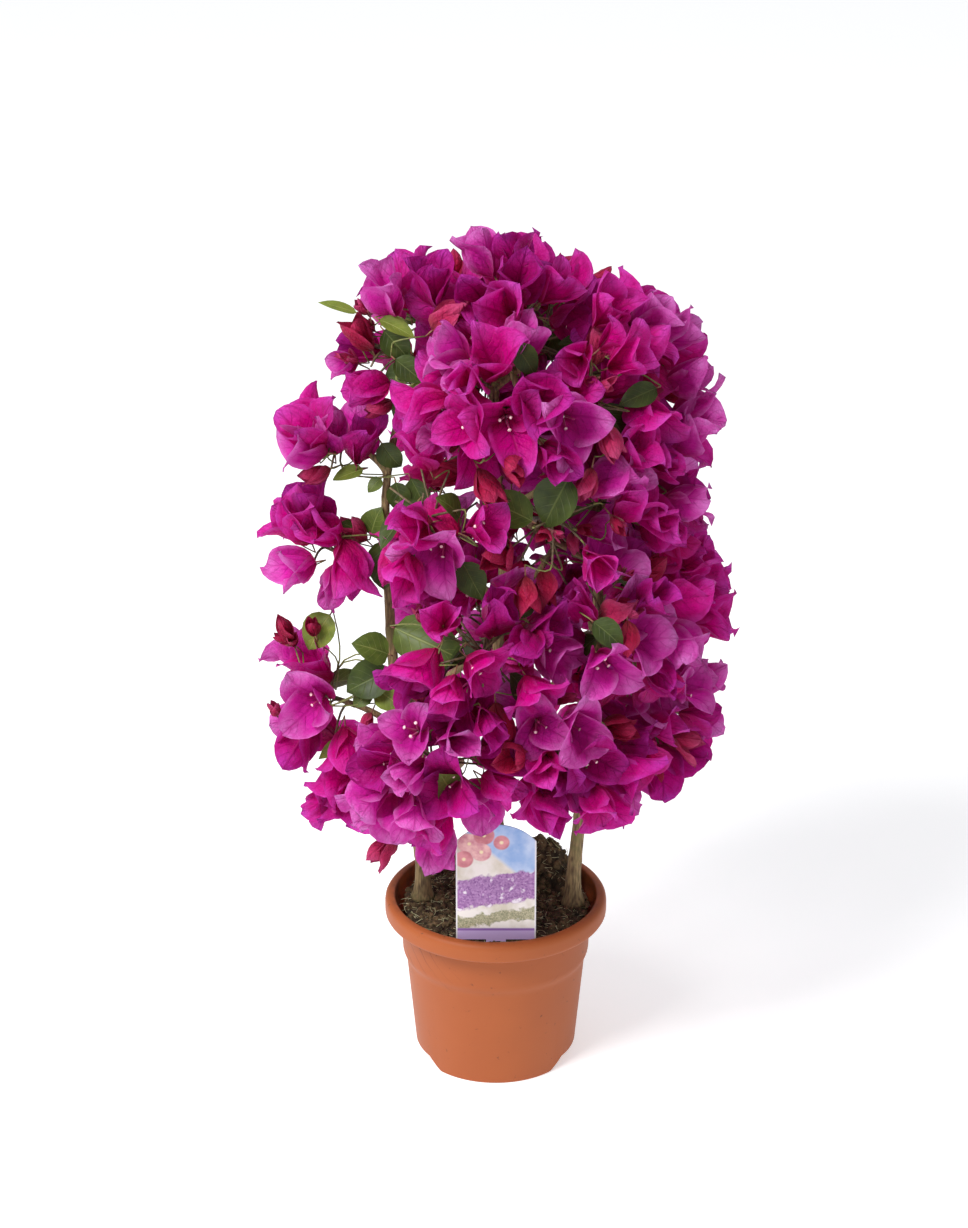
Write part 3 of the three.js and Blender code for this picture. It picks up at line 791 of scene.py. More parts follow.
class Tubes:
    """Closed tapering tubes along paths, gathered as arrays for one joined mesh."""

    def __init__(self):
        self.verts, self.faces, self.tints, self.count = [], [], [], 0

    def add(self, path, radii, sides, tint=0, relief=0.0):
        path = np.asarray(path, float)
        steps = len(path)
        along = np.gradient(path, axis=0)
        along /= np.linalg.norm(along, axis=1)[:, None]
        start = np.cross(along[0], (0.3, 0.9, 0.2))
        normal = start / np.linalg.norm(start)
        turns = np.linspace(0, 2 * math.pi, sides, endpoint=False)
        rings = np.empty((steps, sides, 3))
        for i in range(steps):
            normal = normal - along[i] * np.dot(normal, along[i])
            normal /= np.linalg.norm(normal)
            other = np.cross(along[i], normal)
            spokes = np.cos(turns)[:, None] * normal + np.sin(turns)[:, None] * other
            radius = np.full(sides, radii[i])
            if relief:
                radius = radius * (1 + relief * bark_relief(path[i], turns))
            rings[i] = path[i] + spokes * radius[:, None]
        self.verts.append(rings.reshape(-1, 3))
        k = np.arange(sides)
        n = (k + 1) % sides
        for i in range(steps - 1):
            low = self.count + i * sides
            high = low + sides
            self.faces += np.stack([low + k, low + n, high + n, high + k], axis=1).tolist()
        last = self.count + (steps - 1) * sides
        self.faces += [list(reversed(range(self.count, self.count + sides))), list(range(last, last + sides))]
        self.tints += [tint] * ((steps - 1) * sides + 2)
        self.count += steps * sides

    def mesh(self, name):
        made = bpy.data.meshes.new(name)
        made.from_pydata(np.concatenate(self.verts).tolist(), [], self.faces)
        made.polygons.foreach_set("material_index", self.tints)
        made.shade_smooth()
        return made


KNUCKLE_SPACING = 37  # mm along the wood


def bark_relief(centre, turns):
    """Ridges that run along the wood and wander, crossed by low knuckles where leaves once were."""
    out = np.empty(len(turns))
    height = centre[2]
    for i, turn in enumerate(turns):
        around = Vector((math.cos(turn) * 1.9, math.sin(turn) * 1.9, height * 26))
        ridge = noise.noise(around) + 0.5 * noise.noise(around * 2.3 + Vector((7, 3, 1)))
        pit = noise.noise(Vector((math.cos(turn) * 3, math.sin(turn) * 3, height * 210)))
        out[i] = ridge + 0.45 * pit
    return out + 1.1 * math.exp(-(((height * 1000 / KNUCKLE_SPACING) % 1 - 0.5) / 0.07) ** 2)


def stem_radii(path):
    share = np.linspace(0, 1, len(path))
    length = np.linalg.norm(np.diff(path, axis=0), axis=1).sum()
    flare = STEM["flare"] * np.exp(-share * length / STEM["flare_height"])
    return mix(STEM["foot_radius"], STEM["tip_radius"], share) + flare


# The crown's round masses: rings of them in tiers, loose shoots at the left, and one on top. Each
# has its height, how far from the axis its middle stands, and how far it reaches.
TIERS = [
    {"name": "skirt", "height": 0.302, "ring": 0.106, "reach": 0.077},
    {"name": "waist", "height": 0.388, "ring": 0.106, "reach": 0.076},
    {"name": "breast", "height": 0.478, "ring": 0.093, "reach": 0.075},
    {"name": "shoulder", "height": 0.559, "ring": 0.084, "reach": 0.074},
]
COLUMNS = {"front_left": 346, "front_right": 34, "right": 88, "back_right": 145, "back_left": 196}
STAGGER = 11  # degrees that each tier is turned, one way and the other
LEFT_AZIMUTH = 269
LEFT_SHOOTS = [
    {"name": "left_foot", "height": 0.236, "ring": 0.100, "reach": 0.050},
    {"name": "left_low", "height": 0.302, "ring": 0.124, "reach": 0.053},
    {"name": "left_middle", "height": 0.417, "ring": 0.122, "reach": 0.050},
    {"name": "left_high", "height": 0.511, "ring": 0.120, "reach": 0.048},
    {"name": "left_shoulder", "height": 0.572, "ring": 0.068, "reach": 0.060},
]
TOP = {"name": "top", "height": 0.588, "ring": 0.012, "reach": 0.067, "azimuth": 90}
LIFTS = {"skirt_front_left": -0.008, "skirt_right": -0.006, "skirt_front_right": 0.006}
JITTER = {"azimuth": 4, "height": 0.005, "reach": 0.002}
# A bough's tip enters its mass on the inner side and a little below the middle, in shares of reach.
ENTRY = {"inner": 0.34, "below": 0.14}
CROWN_SEED = 41


def seeded(seed):
    """The CAD's own small generator (mulberry32), so that the same plant grows here."""
    word = 0xFFFFFFFF
    state = seed & word

    def draw():
        nonlocal state
        state = (state + 0x6D2B79F5) & word
        t = ((state ^ (state >> 15)) * (state | 1)) & word
        t ^= (t + (((t ^ (t >> 7)) * (t | 61)) & word)) & word
        return ((t ^ (t >> 14)) & word) / 4294967296

    return draw


def crown_masses():
    draw = seeded(CROWN_SEED)
    places = []
    for i, tier in enumerate(TIERS):
        for column, azimuth in COLUMNS.items():
            turned = azimuth + STAGGER * (1 if i % 2 else -1)
            places.append({**tier, "name": f"{tier['name']}_{column}", "azimuth": turned})
    places += [{**shoot, "azimuth": LEFT_AZIMUTH} for shoot in LEFT_SHOOTS] + [TOP]
    masses = []
    for place in places:
        azimuth = place["azimuth"] + (2 * draw() - 1) * JITTER["azimuth"]
        height = place["height"] + (2 * draw() - 1) * JITTER["height"] + LIFTS.get(place["name"], 0)
        reach = place["reach"] + (2 * draw() - 1) * JITTER["reach"]
        centre = polar(azimuth, place["ring"], height)
        out = Vector((centre.x, centre.y, 0)).normalized()
        if place["name"] == "top":
            out = Vector((0, 0, 1))
        entry = centre - ENTRY["inner"] * reach * out - Vector((0, 0, ENTRY["below"] * reach))
        masses.append({"name": place["name"], "centre": centre, "reach": reach, "out": out, "entry": entry})
    return masses


def nearest_stem(point):
    def gap(stem):
        return (polar(stem["azimuth"], mix(stem["foot"], stem["belly"], 0.8), point.z) - point).length

    return min(STEMS, key=gap)


def bough_path(mass, path, attempt):
    """A bough leaves its stem below the mass and bends until it points at the mass's middle."""
    entry = mass["entry"]
    run = (Vector((*entry[:2], 0)) - Vector((*point_at_height(path, entry.z)[:2], 0))).length
    drop = max(CLIMB["share"] * run, CLIMB["least"]) + CLIMB["per_try"] * attempt
    root = point_at_height(path, entry.z - drop)
    towards = (mass["centre"] - entry).normalized()
    bend = entry - towards * BOUGH["bend"] * (root - entry).length
    return bezier(root, bend, entry, 22)


def settled_bough(mass, path):
    """Of the CAD's tries at this bough, the one whose extent is that of the CAD node."""
    low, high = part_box("bough_" + mass["name"])

    def misfit(attempt):
        tried = bough_path(mass, path, attempt)
        return (Vector(tried.min(0)) - low).length + (Vector(tried.max(0)) - high).length

    return bough_path(mass, path, min(range(CLIMB["tries"]), key=misfit))


def ridged_bark():
    """Young woody bark: grey-brown with pale ridges, greener where it is younger, dry and matt."""
    material, add = new_material("ridged_bark")
    place = add("ShaderNodeTexCoord").outputs["Object"]
    drawn = add("ShaderNodeMapping", {"Vector": place, "Scale": (1, 1, 0.16)})
    ridges = add("ShaderNodeTexNoise", {"Vector": drawn, "Scale": spaced(1.613), "Detail": 4})
    patches = add("ShaderNodeTexNoise", {"Vector": place, "Scale": spaced(18.18), "Detail": 3})
    share = add("ShaderNodeMapRange", [ridges, 0.35, 0.65])
    wood = add("ShaderNodeMix", [share, linear("#5C4A34"), linear("#A0885E")], data_type="RGBA")
    young = add("ShaderNodeMapRange", [patches, 0.5, 0.75])
    colour = add("ShaderNodeMix", [young, wood, linear("#7A7448")], data_type="RGBA")
    bump = add("ShaderNodeBump", {"Height": ridges, "Strength": 0.6, "Distance": 0.0004})
    shader = add("ShaderNodeBsdfPrincipled", {"Base Color": colour, "Roughness": 0.82, "Normal": bump})
    add("ShaderNodeOutputMaterial", [shader])
    return material


masses = crown_masses()
bark = ridged_bark()
for stem in STEMS:
    path = stem_path(stem)
    wood = Tubes()
    wood.add(path, stem_radii(path), 18, relief=STEM["relief"])
    nodes = ["stem_" + stem["name"]]
    for mass in masses:
        if nearest_stem(mass["centre"]) is stem:
            bough = settled_bough(mass, path)
            swell = BOUGH["swell"] * np.exp(-np.arange(len(bough)) / 1.6)
            radii = np.linspace(BOUGH["root_radius"], BOUGH["tip_radius"], len(bough)) + swell
            wood.add(bough, radii, 12, relief=BOUGH["relief"])
            nodes.append("bough_" + mass["name"])
    piece = new_object(f"wood_{stem['name']}", wood.mesh("wood"))
    piece.data.materials.append(bark)
    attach(piece, "root")
    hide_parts(*nodes)


# ------------------------------------------------------------------ how the crown grows
# From each bough's tip one shoot runs on through the middle of its mass, and sprays leave it from
# knot to knot. Every spray forks into finer twigs, and each of those ends in a bloom, a young
# bloom or a cluster of buds. Leaves have stalks of their own. All keep to the mass's own space.

GAP = 0.0003  # what all growth keeps clear of the walls between two masses
# The sprays of the CAD's masses: how many in a full mass, and how far out they end, in its reach.
SPRAY_PLACES = [{"places": 20, "tip": 0.5}, {"places": 3, "tip": 0.34}]
FULL_REACH = 0.076
INWARD_LIMIT = -0.35  # nothing grows that points further into the crown than this
SHOOT = {"root_radius": 0.0024, "tip_radius": 0.0012, "overrun": 0.22}
# The skins that a twig may have, in the order in which the twigs' piece holds them.
BROWN, GREEN, FLUSHED = range(3)
SPRAY = {"root_radius": 0.0012, "tip_radius": 0.0008, "steps": 5, "skin": BROWN}
TWIG = {"root_radius": 0.0007, "tip_radius": 0.0005, "steps": 4, "skin": GREEN}
STALK = {"root_radius": 0.0005, "tip_radius": 0.0007, "bloom": 0.008, "leaf": 0.004}
# Shells of finer places in a full mass: how many, how far out their twigs end as shares of the
# mass's reach, and how far apart the mouths of two blooms stand.
SHELLS = [
    {"places": 140, "near": 0.46, "far": 0.66, "apart": 0.0236},
    {"places": 26, "near": 0.22, "far": 0.44, "apart": 0.0225},
]
# What the seeded growth puts at those places: the shares of full blooms and of young ones (the rest
# are buds), the limits of their lengths, and how far they open: a beta spread, a little to the shut.
SHARES = {"bloom": 0.80, "young": 0.14}
SIZES = {"bloom": (0.034, 0.049), "young": (0.024, 0.036), "buds": (0.011, 0.017), "leaf": (0.030, 0.046)}
OPEN_SKEW = (1.1, 1.35)
YOUNG_OPEN = (0.0, 0.4)
DOME = 0.60  # above this level blooms open half as far, and no leaf grows
# How far before its foot the mouth of a bloom stands: where it grows, and where it is set.
MOUTH = {"grown": 0.016, "set": 0.014}
# The seeded leaves: places in a full mass, how far out their stalks end, their width as a share of
# their length, how far they stray and look up, and their greens in turn: mid (0) or dark (1).
LEAVES = {"places": 4, "near": 0.14, "far": 0.38, "width": (0.62, 0.74), "stray": 0.6, "upward": 0.7}
LEAF_DEAL = [0, 1, 1, 1]
# How uneven the blooms' places are, and how a bloom faces: away from the middle of its mass, out of
# the crown, partly by chance, and a little downwards.
SCATTER = 0.16
FACING = {"away": 0.75, "out": 0.30, "stray": 0.42, "droop": 0.05}
# A bloom's radius as a share of its length: nearly shut, and what opening adds.
BLOOM_RADIUS = {"shut": 0.36, "opening": 0.22}
# How far from the middle the blooms reach at each height, up to the domed top.
CROWN_EDGE = [
    (0.200, 0.105),
    (0.225, 0.155),
    (0.250, 0.174),
    (0.400, 0.174),
    (0.460, 0.160),
    (0.540, 0.166),
    (0.600, 0.143),
    (0.630, 0.114),
    (0.648, 0.078),
    (0.664, 0.030),
]
CROWN_TOP = 0.667
# How low the blooms hang at each place from left to right, clear of the label in the middle.
CROWN_FOOT = [(-0.060, 0.172), (-0.030, 0.196), (0.085, 0.199), (0.120, 0.219), (0.150, 0.242)]
# One looks down on the crown as the camera does, which is how the label is seen and how the lanes
# run through which the sky shows: they sink towards the back.
SIGHT_SLOPE = math.tan(math.radians(CAMERA_PITCH))
LABEL_FACE = {"half": 0.030, "front": -0.065, "top": 0.226, "clear": 0.013}
# The crown keeps right of these places where the loose shoots at the left stand clear of it: the
# lowest and highest level, and the place.
LEFT_EDGE = [
    (0.272, 0.436, -0.081),
    (0.436, 0.488, -0.061),
    (0.488, 0.530, -0.076),
    (0.530, 0.622, -0.058),
]
# Small openings: the place and level of each, and its radius.
OPENINGS = [((-0.027, 0.459), 0.021), ((0.156, 0.486), 0.022), ((0.018, 0.425), 0.009)]

centres = np.array([m["centre"] for m in masses])
reaches = np.array([m["reach"] for m in masses])


def owns(order, points):
    """Which points lie in a mass's own space, clear of the walls to its neighbours."""
    points = np.atleast_2d(points)
    power = ((points[:, None] - centres[None]) ** 2).sum(2) - reaches**2
    apart = np.linalg.norm(centres - centres[order], axis=1)
    clear = power - power[:, [order]] > 2 * apart * GAP
    clear[:, order] = True
    return clear.all(1)


def golden_directions(count, turn):
    i = np.arange(count)
    z = 1 - (2 * i + 1) / count
    flat = np.sqrt(1 - z * z)
    a = i * math.pi * (3 - math.sqrt(5)) + turn
    return np.stack([flat * np.cos(a), flat * np.sin(a), z], axis=1)


def unit(v):
    v = np.asarray(v, float)
    return v / np.linalg.norm(v)


def aimed(azimuth, elevation):
    """A unit vector at an azimuth round the plant and an elevation above the level."""
    e = math.radians(elevation)
    return np.array([*(math.cos(e) * polar(azimuth, 1, 0))[:2], math.sin(e)])


def coarse_sprays(mass, order):
    """The CAD's own sprays: from a knot on the shoot to a tip that faces out of the crown."""
    turn = 2 * math.pi * seeded(CROWN_SEED * 100 + order)()
    towards = unit(mass["centre"] - mass["entry"])
    start = np.array(mass["entry"])
    end = np.array(mass["centre"]) + towards * SHOOT["overrun"] * mass["reach"]
    tips = []
    for form in SPRAY_PLACES:
        count = math.floor(form["places"] * mass["reach"] / FULL_REACH + 0.5)
        ways = golden_directions(count, turn + count)
        points = np.array(mass["centre"]) + ways * form["tip"] * mass["reach"]
        kept = (ways @ np.array(mass["out"]) > INWARD_LIMIT) & owns(order, points)
        tips += [{"tip": p} for p in points[kept]]
    tips.sort(key=lambda s: float(np.dot(s["tip"], towards)))
    for i, spray in enumerate(tips):
        spray["knot"] = mix(start, end, (i + 1) / (len(tips) + 0.6))
        spray["towards"] = towards
    return start, end, tips


# Blooms and buds that stand out on the loose shoots at the left, at the crown's foot and on its
# front: the mass that bears each, where its stalk ends, the azimuth and elevation that it faces,
# its size, how far it is open, and its kind.
SET_BLOOMS = [
    ("left_high", (-0.130, -0.010, 0.499), (302, 68), 0.045, 0.42, "bloom"),
    ("left_high", (-0.122, -0.014, 0.502), (288, 14), 0.039, 0.55, "bloom"),
    ("left_high", (-0.117, -0.004, 0.497), (340, 80), 0.038, 0.15, "bloom"),
    ("left_high", (-0.101, -0.006, 0.490), (45, 76), 0.042, 0.25, "bloom"),
    ("left_high", (-0.120, -0.010, 0.488), (290, -14), 0.026, 0.10, "young"),
    ("left_high", (-0.122, 0.020, 0.506), (222, 20), 0.042, 0.55, "bloom"),
    ("left_high", (-0.106, 0.022, 0.494), (175, 20), 0.038, 0.50, "bloom"),
    ("left_middle", (-0.135, -0.006, 0.427), (302, 70), 0.048, 0.22, "bloom"),
    ("left_middle", (-0.128, -0.004, 0.432), (290, 68), 0.046, 0.20, "bloom"),
    ("left_middle", (-0.132, -0.014, 0.416), (298, 0), 0.038, 0.60, "bloom"),
    ("left_middle", (-0.112, -0.018, 0.436), (30, -64), 0.050, 0.20, "bloom"),
    ("left_middle", (-0.119, -0.010, 0.412), (330, -72), 0.036, 0.15, "bloom"),
    ("left_middle", (-0.112, -0.012, 0.437), (305, 25), 0.036, 0.35, "bloom"),
    ("left_middle", (-0.095, -0.004, 0.429), (283, 48), 0.028, 0.10, "young"),
    ("left_middle", (-0.122, 0.022, 0.422), (215, 10), 0.042, 0.55, "bloom"),
    ("left_middle", (-0.138, 0.014, 0.424), (245, 25), 0.040, 0.35, "bloom"),
    ("left_low", (-0.127, -0.018, 0.310), (330, 4), 0.042, 0.85, "bloom"),
    ("left_low", (-0.124, -0.010, 0.316), (288, 52), 0.044, 0.45, "bloom"),
    ("left_low", (-0.136, -0.008, 0.285), (300, -58), 0.043, 0.45, "bloom"),
    ("left_low", (-0.112, -0.030, 0.290), (8, -62), 0.042, 0.40, "bloom"),
    ("left_low", (-0.152, -0.014, 0.353), (292, 64), 0.024, 0.0, "young"),
    ("left_low", (-0.148, -0.010, 0.346), (300, 50), 0.017, 0.0, "buds"),
    ("left_low", (-0.133, -0.014, 0.357), (330, 72), 0.018, 0.0, "young"),
    ("left_low", (-0.164, -0.004, 0.286), (310, 66), 0.016, 0.0, "young"),
    ("left_low", (-0.092, -0.042, 0.307), (324, -48), 0.016, 0.0, "young"),
    ("left_low", (-0.128, 0.024, 0.302), (222, 8), 0.043, 0.65, "bloom"),
    ("left_low", (-0.138, 0.018, 0.318), (248, 30), 0.038, 0.35, "bloom"),
    ("left_foot", (-0.106, -0.018, 0.250), (300, -28), 0.040, 0.40, "bloom"),
    ("left_foot", (-0.108, -0.018, 0.238), (320, -62), 0.041, 0.45, "bloom"),
    ("left_foot", (-0.083, -0.034, 0.256), (340, -62), 0.047, 0.50, "bloom"),
    ("left_foot", (-0.074, -0.036, 0.276), (20, 0), 0.038, 0.60, "bloom"),
    ("left_foot", (-0.076, -0.044, 0.206), (292, -42), 0.031, 0.0, "young"),
    ("left_foot", (-0.102, 0.024, 0.242), (205, -12), 0.043, 0.60, "bloom"),
    ("left_foot", (-0.120, 0.018, 0.258), (240, 10), 0.040, 0.40, "bloom"),
    ("left_foot", (-0.084, 0.034, 0.226), (190, -45), 0.040, 0.40, "bloom"),
    ("left_foot", (-0.115, -0.004, 0.228), (288, -42), 0.040, 0.40, "bloom"),
    ("left_low", (-0.134, 0.010, 0.286), (262, -30), 0.038, 0.45, "bloom"),
    ("left_shoulder", (-0.074, -0.012, 0.606), (308, 74), 0.043, 0.25, "bloom"),
    ("left_shoulder", (-0.043, -0.012, 0.612), (335, 76), 0.044, 0.25, "bloom"),
    ("left_shoulder", (-0.045, -0.034, 0.603), (66, 44), 0.035, 0.0, "young"),
    ("left_shoulder", (-0.089, -0.010, 0.579), (300, 60), 0.034, 0.25, "young"),
    ("left_shoulder", (-0.098, -0.004, 0.566), (284, 30), 0.017, 0.0, "buds"),
    ("left_shoulder", (-0.090, -0.008, 0.603), (320, 74), 0.016, 0.0, "buds"),
    ("left_shoulder", (-0.086, -0.002, 0.590), (296, 30), 0.015, 0.0, "buds"),
    ("left_shoulder", (-0.099, -0.004, 0.567), (282, 4), 0.025, 0.20, "bloom"),
    ("left_shoulder", (-0.076, -0.014, 0.556), (284, -6), 0.038, 0.35, "bloom"),
    ("left_shoulder", (-0.074, -0.012, 0.541), (290, -15), 0.024, 0.20, "young"),
    ("left_shoulder", (-0.056, -0.048, 0.528), (5, 35), 0.040, 0.75, "bloom"),
    ("left_shoulder", (-0.084, 0.018, 0.566), (250, 15), 0.038, 0.50, "bloom"),
    ("left_shoulder", (-0.070, 0.026, 0.584), (215, 35), 0.038, 0.40, "bloom"),
    ("left_shoulder", (-0.062, 0.034, 0.556), (205, 0), 0.040, 0.60, "bloom"),
    ("shoulder_right", (0.098, -0.010, 0.590), (75, 48), 0.042, 0.35, "bloom"),
    ("shoulder_right", (0.126, -0.004, 0.528), (86, 12), 0.045, 0.40, "bloom"),
    ("breast_right", (0.110, -0.026, 0.474), (78, 2), 0.047, 0.40, "bloom"),
    ("waist_right", (0.138, -0.006, 0.366), (86, 4), 0.045, 0.45, "bloom"),
    ("shoulder_front_right", (0.070, -0.030, 0.604), (50, 60), 0.042, 0.35, "bloom"),
    ("skirt_front_left", (-0.045, -0.070, 0.236), (350, -76), 0.045, 0.10, "bloom"),
    ("skirt_front_left", (-0.066, -0.062, 0.256), (330, -56), 0.044, 0.35, "bloom"),
    ("skirt_front_left", (-0.050, -0.074, 0.262), (350, -40), 0.042, 0.45, "bloom"),
    ("skirt_front_left", (-0.010, -0.098, 0.281), (352, -34), 0.042, 0.55, "bloom"),
    ("skirt_front_right", (0.024, -0.096, 0.284), (20, -38), 0.042, 0.45, "bloom"),
    ("skirt_front_right", (0.080, -0.066, 0.270), (40, -44), 0.042, 0.35, "bloom"),
    ("breast_front_right", (0.020, -0.122, 0.452), (8, -74), 0.031, 0.10, "young"),
    ("shoulder_front_right", (0.066, -0.108, 0.528), (332, -62), 0.026, 0.0, "young"),
    ("shoulder_front_right", (0.074, -0.100, 0.558), (40, -50), 0.028, 0.10, "young"),
    ("waist_front_right", (0.092, -0.118, 0.416), (10, -66), 0.028, 0.0, "young"),
    ("breast_front_right", (0.036, -0.112, 0.484), (20, -10), 0.014, 0.0, "buds"),
]
SET_TINTS = [0, 5, 8, 3, 9]  # dealt to them in turn
# The loose shoots at the left bear only what is set here, apart from a few seeded leaves.
BARE_LEFT = ["left_high", "left_middle", "left_low", "left_foot"]

# Leaves that stand out: the mass that bears each, its foot, its tip, the azimuth and elevation that
# its face looks to, its width as a share of its length, and its green: mid (0), dark (1) or young (2).
SET_LEAVES = [
    ("left_shoulder", (-0.100, -0.006, 0.606), (-0.126, -0.010, 0.617), (20, 60), 0.36, 2),
    ("left_shoulder", (-0.083, -0.018, 0.605), (-0.057, -0.026, 0.596), (10, 55), 0.50, 2),
    ("left_shoulder", (-0.080, -0.016, 0.596), (-0.062, -0.022, 0.576), (350, 30), 0.80, 1),
    ("left_shoulder", (-0.072, -0.026, 0.578), (-0.052, -0.032, 0.563), (350, 35), 0.75, 1),
    ("left_shoulder", (-0.061, -0.030, 0.561), (-0.042, -0.042, 0.547), (0, 35), 0.65, 2),
    ("left_shoulder", (-0.062, -0.014, 0.570), (-0.080, -0.018, 0.552), (340, 30), 0.75, 1),
    ("left_shoulder", (-0.060, -0.016, 0.552), (-0.076, -0.020, 0.530), (345, 20), 0.70, 1),
    ("left_low", (-0.092, -0.036, 0.322), (-0.106, -0.042, 0.312), (345, 30), 0.80, 0),
    ("left_high", (-0.097, -0.004, 0.485), (-0.119, -0.010, 0.480), (340, 55), 0.62, 2),
    ("left_high", (-0.083, -0.008, 0.507), (-0.070, -0.014, 0.488), (330, 20), 0.85, 1),
    ("left_high", (-0.084, -0.004, 0.478), (-0.094, -0.010, 0.470), (330, 20), 0.80, 0),
    ("left_high", (-0.073, -0.012, 0.478), (-0.067, -0.020, 0.456), (345, 20), 0.75, 1),
    ("left_high", (-0.062, -0.012, 0.481), (-0.049, -0.020, 0.456), (350, 10), 0.65, 1),
    ("left_middle", (-0.092, -0.002, 0.432), (-0.087, -0.008, 0.456), (330, 20), 0.90, 0),
    ("left_middle", (-0.098, -0.004, 0.436), (-0.113, -0.010, 0.446), (340, 40), 0.70, 1),
    ("left_middle", (-0.082, -0.006, 0.430), (-0.085, -0.014, 0.390), (345, 10), 0.62, 1),
    ("waist_front_left", (-0.073, -0.078, 0.392), (-0.022, -0.108, 0.380), (350, 34), 0.62, 0),
    ("left_low", (-0.079, -0.045, 0.356), (-0.103, -0.055, 0.371), (345, 45), 0.88, 0),
    ("left_low", (-0.079, -0.040, 0.340), (-0.112, -0.048, 0.328), (340, 30), 0.85, 1),
    ("left_low", (-0.088, -0.042, 0.327), (-0.068, -0.055, 0.316), (350, 25), 0.80, 2),
    ("left_low", (-0.123, -0.006, 0.370), (-0.141, -0.016, 0.346), (335, 20), 0.85, 2),
    ("left_foot", (-0.112, -0.010, 0.270), (-0.134, -0.016, 0.256), (330, 20), 0.45, 2),
    ("breast_front_right", (0.050, -0.112, 0.522), (0.030, -0.120, 0.486), (350, 25), 0.80, 1),
    ("shoulder_front_right", (0.112, -0.060, 0.569), (0.086, -0.075, 0.563), (40, 40), 0.60, 1),
    ("waist_front_right", (0.068, -0.127, 0.419), (0.090, -0.138, 0.405), (20, 35), 0.70, 1),
    ("waist_front_left", (-0.024, -0.110, 0.457), (-0.010, -0.120, 0.432), (350, 20), 0.75, 1),
    ("shoulder_front_left", (0.013, -0.085, 0.610), (0.028, -0.096, 0.592), (10, 40), 0.75, 1),
]

twigs = Tubes()
grown = {"bloom": [], "young": [], "buds": [], "leaf": []}
# Where the mouths of blooms already stand, and the space kept free before the leaves that show.
taken = [np.array(base) + MOUTH["set"] * aimed(*facing) for _, base, facing, *_ in SET_BLOOMS]
taken += [
    mix(np.array(foot), np.array(tip), share) + 0.013 * aimed(*facing)
    for _, foot, tip, facing, *_ in SET_LEAVES
    for share in (0.35, 0.85)
]


def level(point):
    """The height at the plant's axis of the line of sight that a place lies on."""
    return point[2] + point[1] * SIGHT_SLOPE


def hides_label(point):
    """Whether something hung here would stand before the label's face, seen from where one stands."""
    reach = LABEL_FACE["clear"]
    top = LABEL_FACE["top"] + LABEL_FACE["front"] * SIGHT_SLOPE
    ahead = point[1] < LABEL_FACE["front"]
    return ahead and abs(point[0]) < LABEL_FACE["half"] + reach and level(point) < top + reach


def in_opening(point):
    return any(math.hypot(point[0] - x, level(point) - z) < radius for (x, z), radius in OPENINGS)


def drawn_in(base, axis, size, opened):
    """A bloom's place, moved inwards until the whole bloom keeps inside the crown's outline."""
    middle = base + axis * 0.5 * size
    radius = size * (BLOOM_RADIUS["shut"] + BLOOM_RADIUS["opening"] * opened)
    flat = math.hypot(middle[0], middle[1])
    heights, edges = zip(*CROWN_EDGE)
    excess = max(0.0, flat + radius - np.interp(middle[2] + 0.5 * radius, heights, edges))
    moved = base - np.array([middle[0], middle[1], 0]) / flat * excess
    moved[2] -= max(0.0, level(middle) + radius - CROWN_TOP)
    places, lowest = zip(*CROWN_FOOT)
    moved[2] += max(0.0, np.interp(middle[0], places, lowest) - level(middle) + 0.8 * radius)
    for low, high, edge in LEFT_EDGE:
        if low < level(middle) < high:
            moved[0] += max(0.0, edge + radius - middle[0])
    return moved


def add_twig(start, lead, end, form):
    """A twig from a start towards its lead and bent to its end. Returns the way in which it ends."""
    path = bezier(start, lead, end, form["steps"])
    radii = np.linspace(form["root_radius"], form["tip_radius"], form["steps"] + 1)
    twigs.add(path, radii, 5, form["skin"])
    return unit(path[-1] - path[-2])


def nearest_spray(sprays, point):
    return min(sprays, key=lambda s: np.linalg.norm(s["tip"] - point))


def add_stalk(sprays, base, axis, length):
    """The fine twig from the nearest spray to a place, and the stalk that ends it."""
    spray = nearest_spray(sprays, base)
    lead = spray["tip"] + spray["way"] * 0.45 * np.linalg.norm(base - spray["tip"])
    neck = base - axis * length
    add_twig(spray["tip"], lead, neck, TWIG)
    twigs.add(np.array([neck, base]), [STALK["root_radius"], STALK["tip_radius"]], 5, FLUSHED)
    return spray["tint"]


def grow_sprays(mass, order, rng):
    """The shoot through a mass, and the sprays that leave it."""
    start, end, sprays = coarse_sprays(mass, order)
    if mass["name"] in BARE_LEFT:
        places = [np.array(given[1]) for given in SET_BLOOMS + SET_LEAVES if given[0] == mass["name"]]
        sprays = [s for s in sprays if any(s is nearest_spray(sprays, place) for place in places)]
    shoot = np.linspace(start, end, 7)
    twigs.add(shoot, np.linspace(SHOOT["root_radius"], SHOOT["tip_radius"], 7), 7, BROWN)
    for spray in sprays:
        bend = spray["knot"] + spray["towards"] * 0.35 * np.linalg.norm(spray["tip"] - spray["knot"])
        spray["way"] = add_twig(spray["knot"], bend, spray["tip"], SPRAY)
        spray["tint"] = int(rng.integers(0, 1000))
    return sprays


